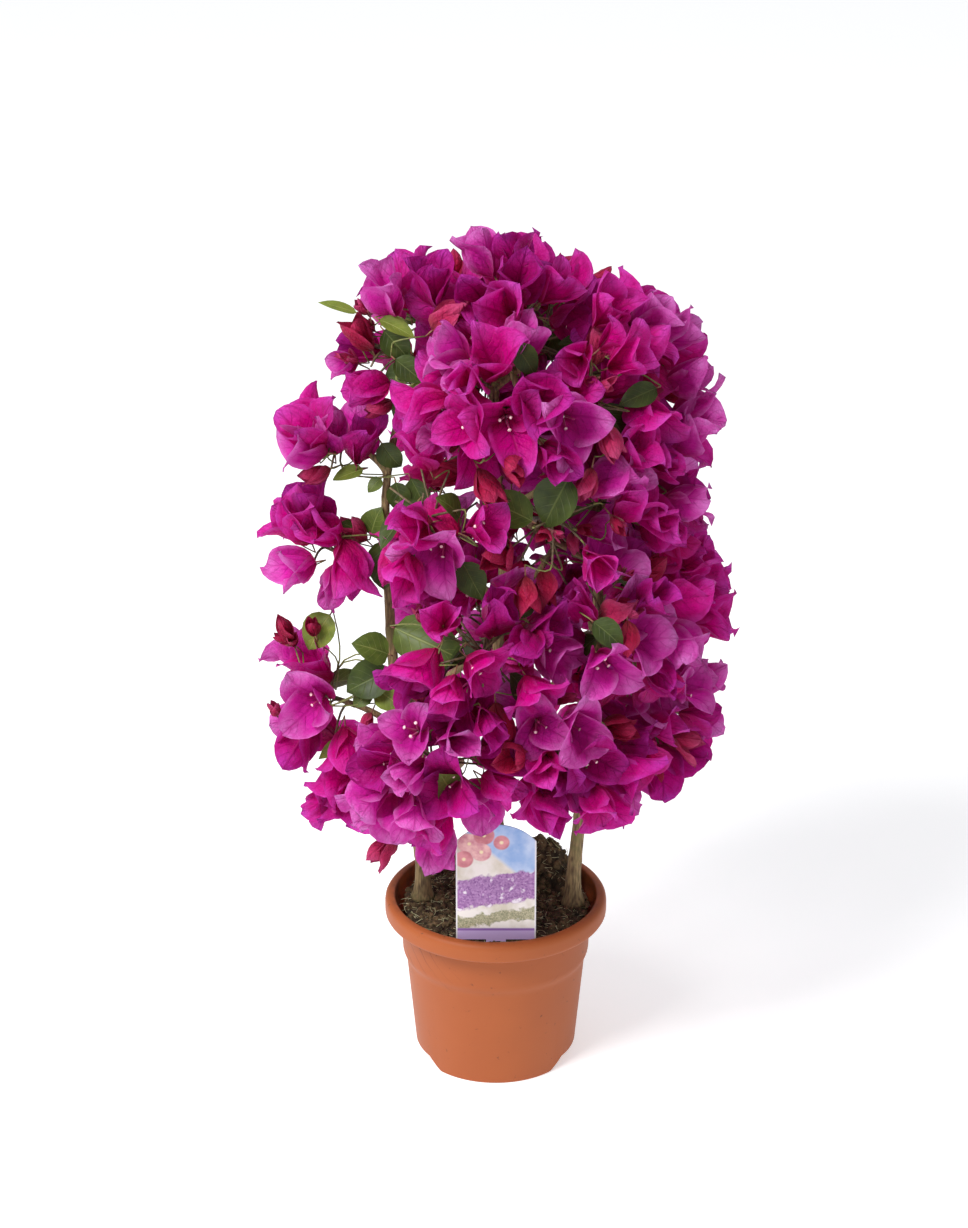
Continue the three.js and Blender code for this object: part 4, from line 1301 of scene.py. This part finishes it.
def hang_set_growth(mass, sprays, rng):
    """The blooms and leaves that have set places in a mass."""
    for index, (name, base, facing, size, opened, kind) in enumerate(SET_BLOOMS):
        if name == mass["name"]:
            base, axis = np.array(base), aimed(*facing)
            add_stalk(sprays, base, axis, STALK["bloom"])
            turn, tint = rng.uniform(0, 2 * math.pi), SET_TINTS[index % len(SET_TINTS)]
            entry = {"base": base, "axis": axis, "turn": turn, "tint": tint, "size": size, "open": opened}
            grown[kind].append(entry)
    for name, foot, tip, facing, width, green in SET_LEAVES:
        if name == mass["name"]:
            foot, tip = np.array(foot), np.array(tip)
            axis, size = unit(tip - foot), np.linalg.norm(tip - foot)
            add_stalk(sprays, foot, axis, STALK["leaf"])
            entry = {"base": foot, "axis": axis, "up": aimed(*facing), "size": size, "width": width}
            grown["leaf"].append({**entry, "green": green})


def grow_blooms(mass, order, sprays, rng):
    """The seeded blooms of a mass, shell by shell, where there is room for them."""
    reach, centre, out = mass["reach"], np.array(mass["centre"]), np.array(mass["out"])
    for shell in SHELLS:
        count = round(shell["places"] * reach / FULL_REACH)
        for way in golden_directions(count, 2 * math.pi * rng.random()):
            way = unit(way + rng.normal(0, SCATTER, 3))
            base = centre + way * rng.uniform(shell["near"], shell["far"]) * reach
            axis = FACING["away"] * way + FACING["out"] * out + rng.normal(0, FACING["stray"], 3)
            axis = unit(axis + (0, 0, -FACING["droop"]))
            chance, size, opened = rng.random(), rng.uniform(*SIZES["bloom"]), rng.beta(*OPEN_SKEW)
            opened *= 0.5 if base[2] > DOME else 1.0
            base = drawn_in(base, axis, size, opened)
            mouth = base + axis * MOUTH["grown"]
            if way @ out < INWARD_LIMIT or not owns(order, [base, base + way * 0.008]).all():
                continue
            along = [base + axis * size * share for share in (0, 0.5, 1)]
            if any(hides_label(point) or in_opening(point) for point in along):
                continue
            if np.min(np.linalg.norm(np.array(taken) - mouth, axis=1)) < shell["apart"]:
                continue
            taken.append(mouth)
            tint = add_stalk(sprays, base, axis, STALK["bloom"])
            entry = {"base": base, "axis": axis, "turn": rng.uniform(0, 2 * math.pi), "tint": tint}
            if chance < SHARES["bloom"]:
                grown["bloom"].append({**entry, "size": size, "open": opened})
            elif chance < SHARES["bloom"] + SHARES["young"]:
                size, opened = rng.uniform(*SIZES["young"]), rng.uniform(*YOUNG_OPEN)
                grown["young"].append({**entry, "size": size, "open": opened})
            else:
                grown["buds"].append({**entry, "size": rng.uniform(*SIZES["buds"]), "open": 0.0})


def grow_leaves(mass, order, sprays, rng):
    """The seeded leaves of a mass, nearer its middle than most of the blooms."""
    reach, centre, out = mass["reach"], np.array(mass["centre"]), np.array(mass["out"])
    count = round(LEAVES["places"] * reach / FULL_REACH)
    for way in golden_directions(count, 2 * math.pi * rng.random()):
        base = centre + way * rng.uniform(LEAVES["near"], LEAVES["far"]) * reach
        far = base + way * 0.02
        if way @ out < INWARD_LIMIT or not owns(order, [base, far]).all():
            continue
        if hides_label(base) or in_opening(far):
            continue
        axis = unit(0.6 * way + rng.normal(0, LEAVES["stray"], 3))
        if far[2] > DOME or (mass["name"].startswith("left") and way[1] < 0.1):
            continue
        tint = add_stalk(sprays, base, axis, STALK["leaf"])
        up = unit(way + (0, 0, LEAVES["upward"]) + rng.normal(0, 0.3, 3))
        size, width = rng.uniform(*SIZES["leaf"]), rng.uniform(*LEAVES["width"])
        entry = {"base": base, "axis": axis, "up": up, "size": size, "width": width}
        grown["leaf"].append({**entry, "green": LEAF_DEAL[tint % 4]})


for order, mass in enumerate(masses):
    rng = np.random.default_rng(CROWN_SEED * 100 + order)
    sprays = grow_sprays(mass, order, rng)
    hang_set_growth(mass, sprays, rng)
    if mass["name"] not in BARE_LEFT:
        grow_blooms(mass, order, sprays, rng)
    grow_leaves(mass, order, sprays, rng)


# ------------------------------------------------------------------ bracts
# What looks like a flower is three papery magenta bracts round three small true flowers. A bract
# is one thin sheet with a pointed oval outline, creased at the midrib, cupped and ruffled.

BRACT = {
    "steps": [0, 0.07, 0.18, 0.31, 0.45, 0.59, 0.72, 0.84, 0.93, 1],
    "across": 6,
    "skew": 0.82,
    "belly": 0.50,
    "point": 0.32,
    "stalk": 0.18,
    "crease": 0.10,
    "rise": 0.30,
    "waves": 2.7,
    "veins": 3.0,
    "pucker": 0.032,
    "dent": 0.060,
}
# How the three bracts stand, from shut to open: how far they lean out in degrees, how far they curl
# back in radians, how far they bow across at the foot and at the tip, their width as a share of
# their length, and how much their rims ruffle.
WHORLS = {
    "bloom": {
        "lean": (12, 40),
        "curl": (-0.15, 1.05),
        "bow_foot": (1.35, 1.10),
        "bow_tip": (0.95, 0.05),
        "width": 0.86,
        "ruffle": 0.066,
    },
    "young": {
        "lean": (20, 26),
        "curl": (-0.9, -0.2),
        "bow_foot": (1.2, 1.2),
        "bow_tip": (1.3, 1.3),
        "width": 0.76,
        "ruffle": 0.03,
    },
    "buds": {
        "lean": (18, 18),
        "curl": (-0.8, -0.8),
        "bow_foot": (1.3, 1.3),
        "bow_tip": (1.3, 1.3),
        "width": 0.62,
        "ruffle": 0.02,
    },
}
# Each bract's inks: its face, its veins and painted shade, its foot, and its rim and tip, which is paler
# partly of itself and partly as a painted sheen.
MAGENTAS = [
    ("magenta_bract", "#DE0292", "#94024C", "#BC0848", "#E058D2"),
    ("deep_magenta_bract", "#C2007C", "#780044", "#A0043A", "#CA40BC"),
    ("light_magenta_bract", "#E22CB4", "#AC0E7C", "#C41660", "#EC98E4"),
    ("rose_magenta_bract", "#DE087C", "#94043E", "#BA0A3E", "#E04EBC"),
]
CRIMSONS = [
    ("crimson_bract", "#B41644", "#6E0826", "#7C2C2C", "#C43A6A"),
    ("rose_red_bract", "#CA3064", "#88123A", "#8E4036", "#D45A8E"),
]
BRACT_DEAL = [0, 0, 0, 1, 1, 2, 2, 3, 0, 2]
GLOW = {"open": 0.45, "young": 0.30}


def blade_mesh(name, blades, form):
    """All blades of one kind as one joined mesh, each a small grid in its own outline."""
    u = np.array(form["steps"])
    v = np.linspace(-1, 1, form["across"] + 1)
    count, rows, columns = len(blades), len(u), len(v)

    def column(key):
        return np.array([b[key] for b in blades], float)

    def crosswise(a, b, angle):
        """The frame a, b turned about their shared square by an angle."""
        angle = angle[..., None]
        return a * np.cos(angle) + b * np.sin(angle), b * np.cos(angle) - a * np.sin(angle)

    base, along, up = column("base"), column("along"), column("up")
    along /= np.linalg.norm(along, axis=1)[:, None]
    up -= along * (up * along).sum(1)[:, None]
    up /= np.linalg.norm(up, axis=1)[:, None]
    side = np.cross(along, up)
    width = column("width")[:, None]
    # The midrib leaves its first direction by curl, mostly near the tip, away from the face.
    angle = column("curl")[:, None] * (u[None] ** 1.5 - form["rise"] * np.sin(math.pi * u)[None])
    tangent, normal = crosswise(along[:, None], -up[:, None], angle)
    normal = -normal
    middle = (tangent[:, 1:] + tangent[:, :-1]) / 2 * (column("length")[:, None] * np.diff(u))[..., None]
    rib = np.concatenate([np.zeros((count, 1, 3)), np.cumsum(middle, axis=1)], axis=1) + base[:, None]
    across, normal = crosswise(side[:, None] + 0 * normal, normal, column("twist")[:, None] * u[None])
    # Half the width along the blade: round at the foot, broad, then drawn to a point.
    half = np.sin(math.pi * u ** form["skew"]) ** form["belly"] * (1 - form["point"] * u**8)
    half[0], half[-1] = form["stalk"], 0.01
    spread = width / 2 * half[None]
    spread = spread[..., None] * (1 + column("lop")[:, None] * np.sign(v)[None])[:, None]
    bow = column("bow_foot")[:, None] * (1 - u[None]) + column("bow_tip")[:, None] * u[None]
    bow = np.where(np.abs(bow) < 0.02, 0.02, bow)[..., None]
    lateral = spread * np.sin(bow * v) / bow
    rise = spread * (1 - np.cos(bow * v)) / bow + form["crease"] * spread * np.abs(v) ** 0.8
    phase = column("phase")[:, None, None]
    ends = np.abs(v)[None, None]
    waves = np.sin(form["waves"] * math.pi * u[None, :, None] + phase + 1.7 * np.sign(v))
    rise += column("ruffle")[:, None, None] * width[..., None] * waves * ends**2.2
    veins = np.sin(2 * math.pi * form["veins"] * (u[None, :, None] - 0.34 * ends))
    rise += form["pucker"] * width[..., None] * veins * ends * (1.15 - ends)
    dents = np.sin(1.7 * math.pi * u[None, :, None] + 2.3 * phase) * np.cos(2.4 * v[None, None] + 1.3 * phase)
    rise += form["dent"] * width[..., None] * dents * np.minimum(1, 4 * u)[None, :, None]
    points = rib[:, :, None] + across[:, :, None] * lateral[..., None] + normal[:, :, None] * rise[..., None]
    first = (np.arange(count) * rows * columns)[:, None, None]
    i, k = np.meshgrid(np.arange(rows - 1), np.arange(columns - 1), indexing="ij")
    a = first + (i * columns + k)[None]
    quads = np.stack([a, a + 1, a + columns + 1, a + columns], axis=-1).reshape(-1, 4)
    mesh = bpy.data.meshes.new(name)
    mesh.vertices.add(count * rows * columns)
    mesh.vertices.foreach_set("co", points.astype(np.float32).ravel())
    mesh.loops.add(quads.size)
    mesh.loops.foreach_set("vertex_index", quads.astype(np.int32).ravel())
    mesh.polygons.add(len(quads))
    mesh.polygons.foreach_set("loop_start", (np.arange(len(quads)) * 4).astype(np.int32))
    tints = np.repeat([b["tint"] for b in blades], (rows - 1) * (columns - 1))
    mesh.polygons.foreach_set("material_index", tints.astype(np.int32))
    mesh.update(calc_edges=True)
    grid = np.stack(np.meshgrid(u, (v + 1) / 2, indexing="ij"), axis=-1)[..., ::-1].reshape(-1, 2)
    corners = np.tile(grid, (count, 1))[quads.ravel()]
    mesh.uv_layers.new(name="blade").data.foreach_set("uv", corners.astype(np.float32).ravel())
    mesh.shade_smooth()
    return mesh


def blade_places(add, slope):
    """A blade's own places: across it, along it, off its midrib, and along its slanting veins."""
    across, along, _ = add("ShaderNodeSeparateXYZ", [add("ShaderNodeUVMap", uv_map="blade")]).outputs
    doubled = add("ShaderNodeMath", [across, 2.0], operation="MULTIPLY")
    centred = add("ShaderNodeMath", [doubled, 1.0], operation="SUBTRACT")
    off = add("ShaderNodeMath", [centred], operation="ABSOLUTE")
    drop = add("ShaderNodeMath", [off, slope], operation="MULTIPLY")
    slant = add("ShaderNodeMath", [along, drop], operation="SUBTRACT")
    return across, along, off, slant


def feathered_veins(add, off, slant, width, fade, midrib):
    """A midrib, and six pairs of side veins that fade towards the blade's edge."""
    pairs = add("ShaderNodeMath", [slant, 6.0], operation="MULTIPLY")
    gap = add("ShaderNodeMath", [pairs, 0.5], operation="PINGPONG")
    drawn = add("ShaderNodeMapRange", [gap, width, 0.0])
    fading = add("ShaderNodeMapRange", [off, *fade])
    side = add("ShaderNodeMath", [drawn, fading], operation="MULTIPLY")
    middle = add("ShaderNodeMapRange", [off, *midrib])
    return add("ShaderNodeMath", [side, middle], operation="MAXIMUM")


def papery_bract(name, face, deep, foot, rim, glow):
    """A bract: thin as tissue, so that light glows through it, satin on the swells, with a fine
    net of darker veins, and a redder foot where it joins its twig. Its colour also carries painted
    shade in clouds and folds, and is paler at the tip and rim, partly of itself and partly as a
    painted sheen."""
    material, add = new_material(name)
    place = add("ShaderNodeTexCoord").outputs["Object"]
    across, along, off, slant = blade_places(add, 0.34)
    wander = add("ShaderNodeTexNoise", {"Vector": place, "Scale": spaced(4.1667), "Detail": 2})
    wobble = add("ShaderNodeMath", [wander, 0.06], operation="MULTIPLY")
    wavy = add("ShaderNodeMath", [slant, wobble], operation="ADD")
    vein = feathered_veins(add, off, wavy, 0.10, (1.0, 0.2, 0.2, 0.9), (0.09, 0.02))
    cells = add(
        "ShaderNodeTexVoronoi", {"Vector": place, "Scale": spaced(1.923)}, feature="DISTANCE_TO_EDGE"
    )
    net = add("ShaderNodeMapRange", [cells, 0.10, 0.0])
    fine = add("ShaderNodeMath", [net, 0.35], operation="MULTIPLY")
    veins = add("ShaderNodeMath", [vein, fine], operation="MAXIMUM")
    # Painted shade: the blade darkens towards its deep ink in clouds, and in folds that run out from the foot
    # along the blade, each bract's its own.
    spread = add("ShaderNodeMath", [across, 9.0], operation="MULTIPLY")
    drawn = add("ShaderNodeMath", [slant, 1.6], operation="MULTIPLY")
    fan = add("ShaderNodeCombineXYZ", [spread, drawn])
    drift = add("ShaderNodeVectorMath", {"Vector": place, "Scale": spaced(25)}, operation="SCALE")
    lengthwise = add("ShaderNodeVectorMath", [fan, drift], operation="ADD")
    folds = add("ShaderNodeTexNoise", {"Vector": lengthwise, "Scale": 1.0, "Detail": 3})
    cloud = add("ShaderNodeTexNoise", {"Vector": place, "Scale": spaced(11.765), "Detail": 3})
    cloud_shade = add("ShaderNodeMapRange", [cloud, 0.35, 0.7, 0.0, 0.26])
    fold_shade = add("ShaderNodeMapRange", [folds, 0.48, 0.7, 0.0, 0.36])
    shade = add("ShaderNodeMath", [cloud_shade, fold_shade], operation="ADD")
    tone = add("ShaderNodeMix", [shade, linear(face), linear(deep)], data_type="RGBA")
    # Paler towards the tip and the rim: partly the bract's own colour, partly a painted sheen for the light
    # on its outer, upturned parts.
    near_tip = add("ShaderNodeMapRange", [along, 0.56, 1.08])
    near_edge = add("ShaderNodeMapRange", [off, 0.70, 1.15])
    outward = add("ShaderNodeMath", [near_tip, near_edge], operation="MAXIMUM")
    broken = add("ShaderNodeMapRange", [cloud, 0.62, 0.40, 0.35, 1.0])
    paled_rim_and_sheen = add("ShaderNodeMath", [outward, broken], operation="MULTIPLY")
    rim_and_sheen_mixed = add("ShaderNodeMix", [paled_rim_and_sheen, tone, linear(rim)], data_type="RGBA")
    near_foot = add("ShaderNodeMapRange", [along, 0.38, 0.02, 0.0, 0.75])
    footed = add("ShaderNodeMix", [near_foot, rim_and_sheen_mixed, linear(foot)], data_type="RGBA")
    fading = add("ShaderNodeMapRange", [along, 0.0, 1.0, 0.70, 0.40])
    strength = add("ShaderNodeMath", [veins, fading], operation="MULTIPLY")
    lined = add("ShaderNodeMix", [strength, footed, linear(deep)], data_type="RGBA")
    crinkle = add("ShaderNodeTexNoise", {"Vector": place, "Scale": spaced(3.846), "Detail": 4})
    raised = add("ShaderNodeMath", [folds, 1.6], operation="MULTIPLY")
    swells = add("ShaderNodeMath", [crinkle, raised], operation="ADD")
    sunken = add("ShaderNodeMath", [veins, 0.45], operation="MULTIPLY")
    heights = add("ShaderNodeMath", [swells, sunken], operation="SUBTRACT")
    bump = add("ShaderNodeBump", {"Height": heights, "Strength": 0.9, "Distance": 0.0014})
    shader = add(
        "ShaderNodeBsdfPrincipled",
        {
            "Base Color": lined,
            "Roughness": 0.44,
            "Specular IOR Level": 0.12,
            "Sheen Weight": 0.06,
            "Sheen Roughness": 0.40,
            "Sheen Tint": linear("#F0B0F0"),
            "Normal": bump,
        },
    )
    through = add("ShaderNodeBsdfTranslucent", {"Color": lined, "Normal": bump})
    skin = add("ShaderNodeMixShader", [glow, shader, through])
    add("ShaderNodeOutputMaterial", [skin])
    return material


def spokes_round(axis, turn, count):
    """Unit vectors square to an axis, dealt evenly round it."""
    first = unit(np.cross(axis, (0.31, 0.17, 0.93)))
    second = np.cross(axis, first)
    turns = turn + np.arange(count) * 2 * math.pi / count
    return [first * math.cos(t) + second * math.sin(t) for t in turns]


def whorl(bloom, kind, tint, rng):
    """The three bracts of one bloom."""
    form = WHORLS[kind]
    opening, curl, bow_foot, bow_tip = (
        mix(*form[key], bloom["open"]) for key in ("lean", "curl", "bow_foot", "bow_tip")
    )
    made = []
    for spoke in spokes_round(bloom["axis"], bloom["turn"], 3):
        lean = math.radians(opening + rng.uniform(-12, 12))
        along = bloom["axis"] * math.cos(lean) + spoke * math.sin(lean)
        up = bloom["axis"] * math.sin(lean) - spoke * math.cos(lean)
        roll = rng.normal(0, 0.14)
        up = up * math.cos(roll) + np.cross(along, up) * math.sin(roll)
        length = bloom["size"] * rng.uniform(0.92, 1.08)
        made.append({
            "base": bloom["base"] + spoke * 0.0006,
            "along": along,
            "up": up,
            "length": length,
            "width": length * form["width"] * rng.uniform(0.92, 1.10),
            "curl": curl + rng.normal(0, 0.22),
            "bow_foot": bow_foot + rng.normal(0, 0.12),
            "bow_tip": bow_tip + rng.normal(0, 0.20),
            "twist": rng.normal(0, 0.22),
            "lop": rng.uniform(-0.08, 0.08),
            "ruffle": form["ruffle"] * rng.uniform(0.4, 1.6),
            "phase": rng.uniform(0, 6.28),
            "tint": tint,
        })
    return made


bract_materials = [papery_bract(*inks, GLOW["open"]) for inks in MAGENTAS]
young_materials = [papery_bract(*inks, GLOW["young"]) for inks in CRIMSONS]
rng = np.random.default_rng(7)
open_blades, young_blades, flowering = [], [], []
for bloom in grown["bloom"]:
    dealt = (bloom["tint"] + int(rng.integers(0, 2))) % len(BRACT_DEAL)
    open_blades += whorl(bloom, "bloom", BRACT_DEAL[dealt], rng)
    if bloom["open"] > 0.45 and rng.random() < 0.85:
        flowering.append(bloom)
for bloom in grown["young"]:
    young_blades += whorl(bloom, "young", bloom["tint"] % 2, rng)
for cluster in grown["buds"]:
    for spoke in spokes_round(cluster["axis"], cluster["turn"], 2):
        lean = rng.uniform(0.2, 0.7)
        axis = unit(cluster["axis"] * math.cos(lean) + spoke * math.sin(lean))
        base, size = cluster["base"] + axis * 0.003, cluster["size"] * rng.uniform(0.8, 1.2)
        bud = {**cluster, "axis": axis, "size": size, "base": base}
        young_blades += whorl(bud, "buds", int(rng.integers(0, 2)), rng)

foliage_nodes = ["foliage_" + m["name"] for m in masses]
half = len(open_blades) // 2
for name, blades in (("bracts_lower", open_blades[:half]), ("bracts_upper", open_blades[half:])):
    piece = new_object(name, blade_mesh(name, blades, BRACT))
    for material in bract_materials:
        piece.data.materials.append(material)
    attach(piece, "root")
    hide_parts(*foliage_nodes)
piece = new_object("young_bracts", blade_mesh("young_bracts", young_blades, BRACT))
for material in young_materials:
    piece.data.materials.append(material)
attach(piece, "root")


# ------------------------------------------------------------------ leaves
# Green leaves on short stalks, thin and leathery, in the same oval as the bracts but flatter, with
# a drawn-out point. They show where the blooms stand apart.

LEAF = {
    "steps": [0, 0.08, 0.2, 0.34, 0.49, 0.64, 0.78, 0.9, 1],
    "across": 6,
    "skew": 0.74,
    "belly": 0.72,
    "point": 0.50,
    "stalk": 0.06,
    "crease": 0.10,
    "rise": 0.1,
    "waves": 2.0,
    "veins": 2.5,
    "pucker": 0.012,
    "dent": 0.02,
}
# Each green's inks: the face, its darker clouds, and its veins.
GREENS = [
    ("leaf_mid_green", "#5E6E2E", "#485826", "#949E58"),
    ("leaf_dark_green", "#42501F", "#2E3A18", "#6C7842"),
    ("leaf_young_green", "#82903A", "#66752F", "#ABB264"),
]


def glossy_leaf(name, face, shade, rib):
    """A leaf: thin and leathery, with a waxy half-gloss, darker between pale sunken veins."""
    material, add = new_material(name)
    place = add("ShaderNodeTexCoord").outputs["Object"]
    _, _, off, slant = blade_places(add, 0.30)
    vein = feathered_veins(add, off, slant, 0.06, (1.0, 0.3, 0.1, 0.8), (0.06, 0.02))
    cloud = add("ShaderNodeTexNoise", {"Vector": place, "Scale": spaced(7.692), "Detail": 4})
    share = add("ShaderNodeMapRange", [cloud, 0.3, 0.7])
    tone = add("ShaderNodeMix", [share, linear(face), linear(shade)], data_type="RGBA")
    faint = add("ShaderNodeMath", [vein, 0.5], operation="MULTIPLY")
    lined = add("ShaderNodeMix", [faint, tone, linear(rib)], data_type="RGBA")
    swells = add("ShaderNodeMath", [cloud, 0.4], operation="MULTIPLY")
    heights = add("ShaderNodeMath", [swells, vein], operation="SUBTRACT")
    bump = add("ShaderNodeBump", {"Height": heights, "Strength": 0.5, "Distance": 0.0005})
    shader = add(
        "ShaderNodeBsdfPrincipled",
        {"Base Color": lined, "Roughness": 0.44, "Specular IOR Level": 0.28, "Normal": bump},
    )
    through = add("ShaderNodeBsdfTranslucent", {"Color": lined, "Normal": bump})
    skin = add("ShaderNodeMixShader", [0.15, shader, through])
    add("ShaderNodeOutputMaterial", [skin])
    return material


leaf_blades = []
for leaf in grown["leaf"]:
    leaf_blades.append({
        "base": leaf["base"],
        "along": leaf["axis"],
        "up": leaf["up"],
        "length": leaf["size"],
        "width": leaf["size"] * leaf["width"],
        "curl": rng.uniform(0.1, 0.8),
        "bow_foot": rng.uniform(0.2, 0.6),
        "bow_tip": rng.uniform(-0.1, 0.4),
        "twist": rng.normal(0, 0.2),
        "lop": rng.uniform(-0.06, 0.06),
        "ruffle": rng.uniform(0.01, 0.04),
        "phase": rng.uniform(0, 6.28),
        "tint": leaf["green"],
    })
piece = new_object("leaves", blade_mesh("leaves", leaf_blades, LEAF))
for green in GREENS:
    piece.data.materials.append(glossy_leaf(*green))
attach(piece, "root")


# ------------------------------------------------------------------ the true flowers
# Inside an open bloom stand three slim tubes, one on each bract, that end in small cream stars.
# A tuft of unopened tubes, swollen at the end, stands in each cluster of buds.

FLOWER = {"length": 0.0150, "radius": 0.0008, "star": 0.0014, "lean": 20}
UNOPENED = {"count": 6, "length": (0.007, 0.012), "radii": [0.0004, 0.0006, 0.0010, 0.0004]}


def flower_tissue(name, light, dark):
    """Waxy flower tissue: soft, finely downy, with a slight change of tone."""
    material, add = new_material(name)
    place = add("ShaderNodeTexCoord").outputs["Object"]
    tint = add("ShaderNodeTexNoise", {"Vector": place, "Scale": spaced(1.6667), "Detail": 2})
    colour = add("ShaderNodeMix", [tint, linear(light), linear(dark)], data_type="RGBA")
    shader = add("ShaderNodeBsdfPrincipled", {"Base Color": colour, "Roughness": 0.6, "Sheen Weight": 0.2})
    add("ShaderNodeOutputMaterial", [shader])
    return material


tubes = Tubes()
for bloom in flowering:
    for spoke in spokes_round(bloom["axis"], bloom["turn"], 3):
        lean = math.radians(FLOWER["lean"] + rng.uniform(-5, 5))
        way = bloom["axis"] * math.cos(lean) + spoke * math.sin(lean)
        foot = bloom["base"] + way * 0.001
        tip = bloom["base"] + way * FLOWER["length"] * rng.uniform(0.85, 1.1)
        slim = FLOWER["radius"]
        tubes.add(np.linspace(foot, tip, 4), [slim, 1.25 * slim, 0.8 * slim, slim], 5, 0)
        if rng.random() < 0.8:
            star = FLOWER["star"] * rng.uniform(0.85, 1.15)
            cap = np.array([tip, tip + way * 0.0005, tip + way * 0.0009])
            tubes.add(cap, [0.9 * slim, star, 0.35 * star], 7, 1)
for cluster in grown["buds"]:
    for spoke in spokes_round(cluster["axis"], cluster["turn"] + 0.5, UNOPENED["count"]):
        lean = rng.uniform(0.12, 0.62)
        way = unit(cluster["axis"] * math.cos(lean) + spoke * math.sin(lean))
        length = rng.uniform(*UNOPENED["length"])
        foot = cluster["base"] + way * 0.0005
        steps = np.array([0, 0.45, 0.8, 1.0])[:, None]
        tubes.add(foot + way * length * steps, UNOPENED["radii"], 5, 2)
piece = new_object("true_flowers", tubes.mesh("flowers"))
piece.data.materials.append(flower_tissue("flower_tube", "#C02A78", "#9C1C62"))
piece.data.materials.append(flower_tissue("flower_star", "#FCE4E0", "#F4C4CC"))
piece.data.materials.append(flower_tissue("flower_bud", "#8E3A40", "#5E2A26"))
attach(piece, "root")


# ------------------------------------------------------------------ twigs
# Shoots, sprays and the stalks of blooms and leaves: brown where they leave the bough, yellow-green
# further out, and flushed with red close under the bracts.


def twig_skin(name, light, dark):
    """Young twig skin: finely mottled, with a dull gloss."""
    material, add = new_material(name)
    place = add("ShaderNodeTexCoord").outputs["Object"]
    mottle = add("ShaderNodeTexNoise", {"Vector": place, "Scale": spaced(2.2222), "Detail": 3})
    share = add("ShaderNodeMapRange", [mottle, 0.35, 0.65])
    colour = add("ShaderNodeMix", [share, linear(light), linear(dark)], data_type="RGBA")
    bump = add("ShaderNodeBump", {"Height": mottle, "Strength": 0.3, "Distance": 0.0002})
    shader = add("ShaderNodeBsdfPrincipled", {"Base Color": colour, "Roughness": 0.62, "Normal": bump})
    add("ShaderNodeOutputMaterial", [shader])
    return material


piece = new_object("twigs", twigs.mesh("twigs"))
piece.data.materials.append(twig_skin("brown_twig", "#725F42", "#4C3E2B"))
piece.data.materials.append(twig_skin("green_twig", "#808244", "#606634"))
piece.data.materials.append(twig_skin("flushed_twig", "#8C6A48", "#7A3A3C"))
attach(piece, "root")
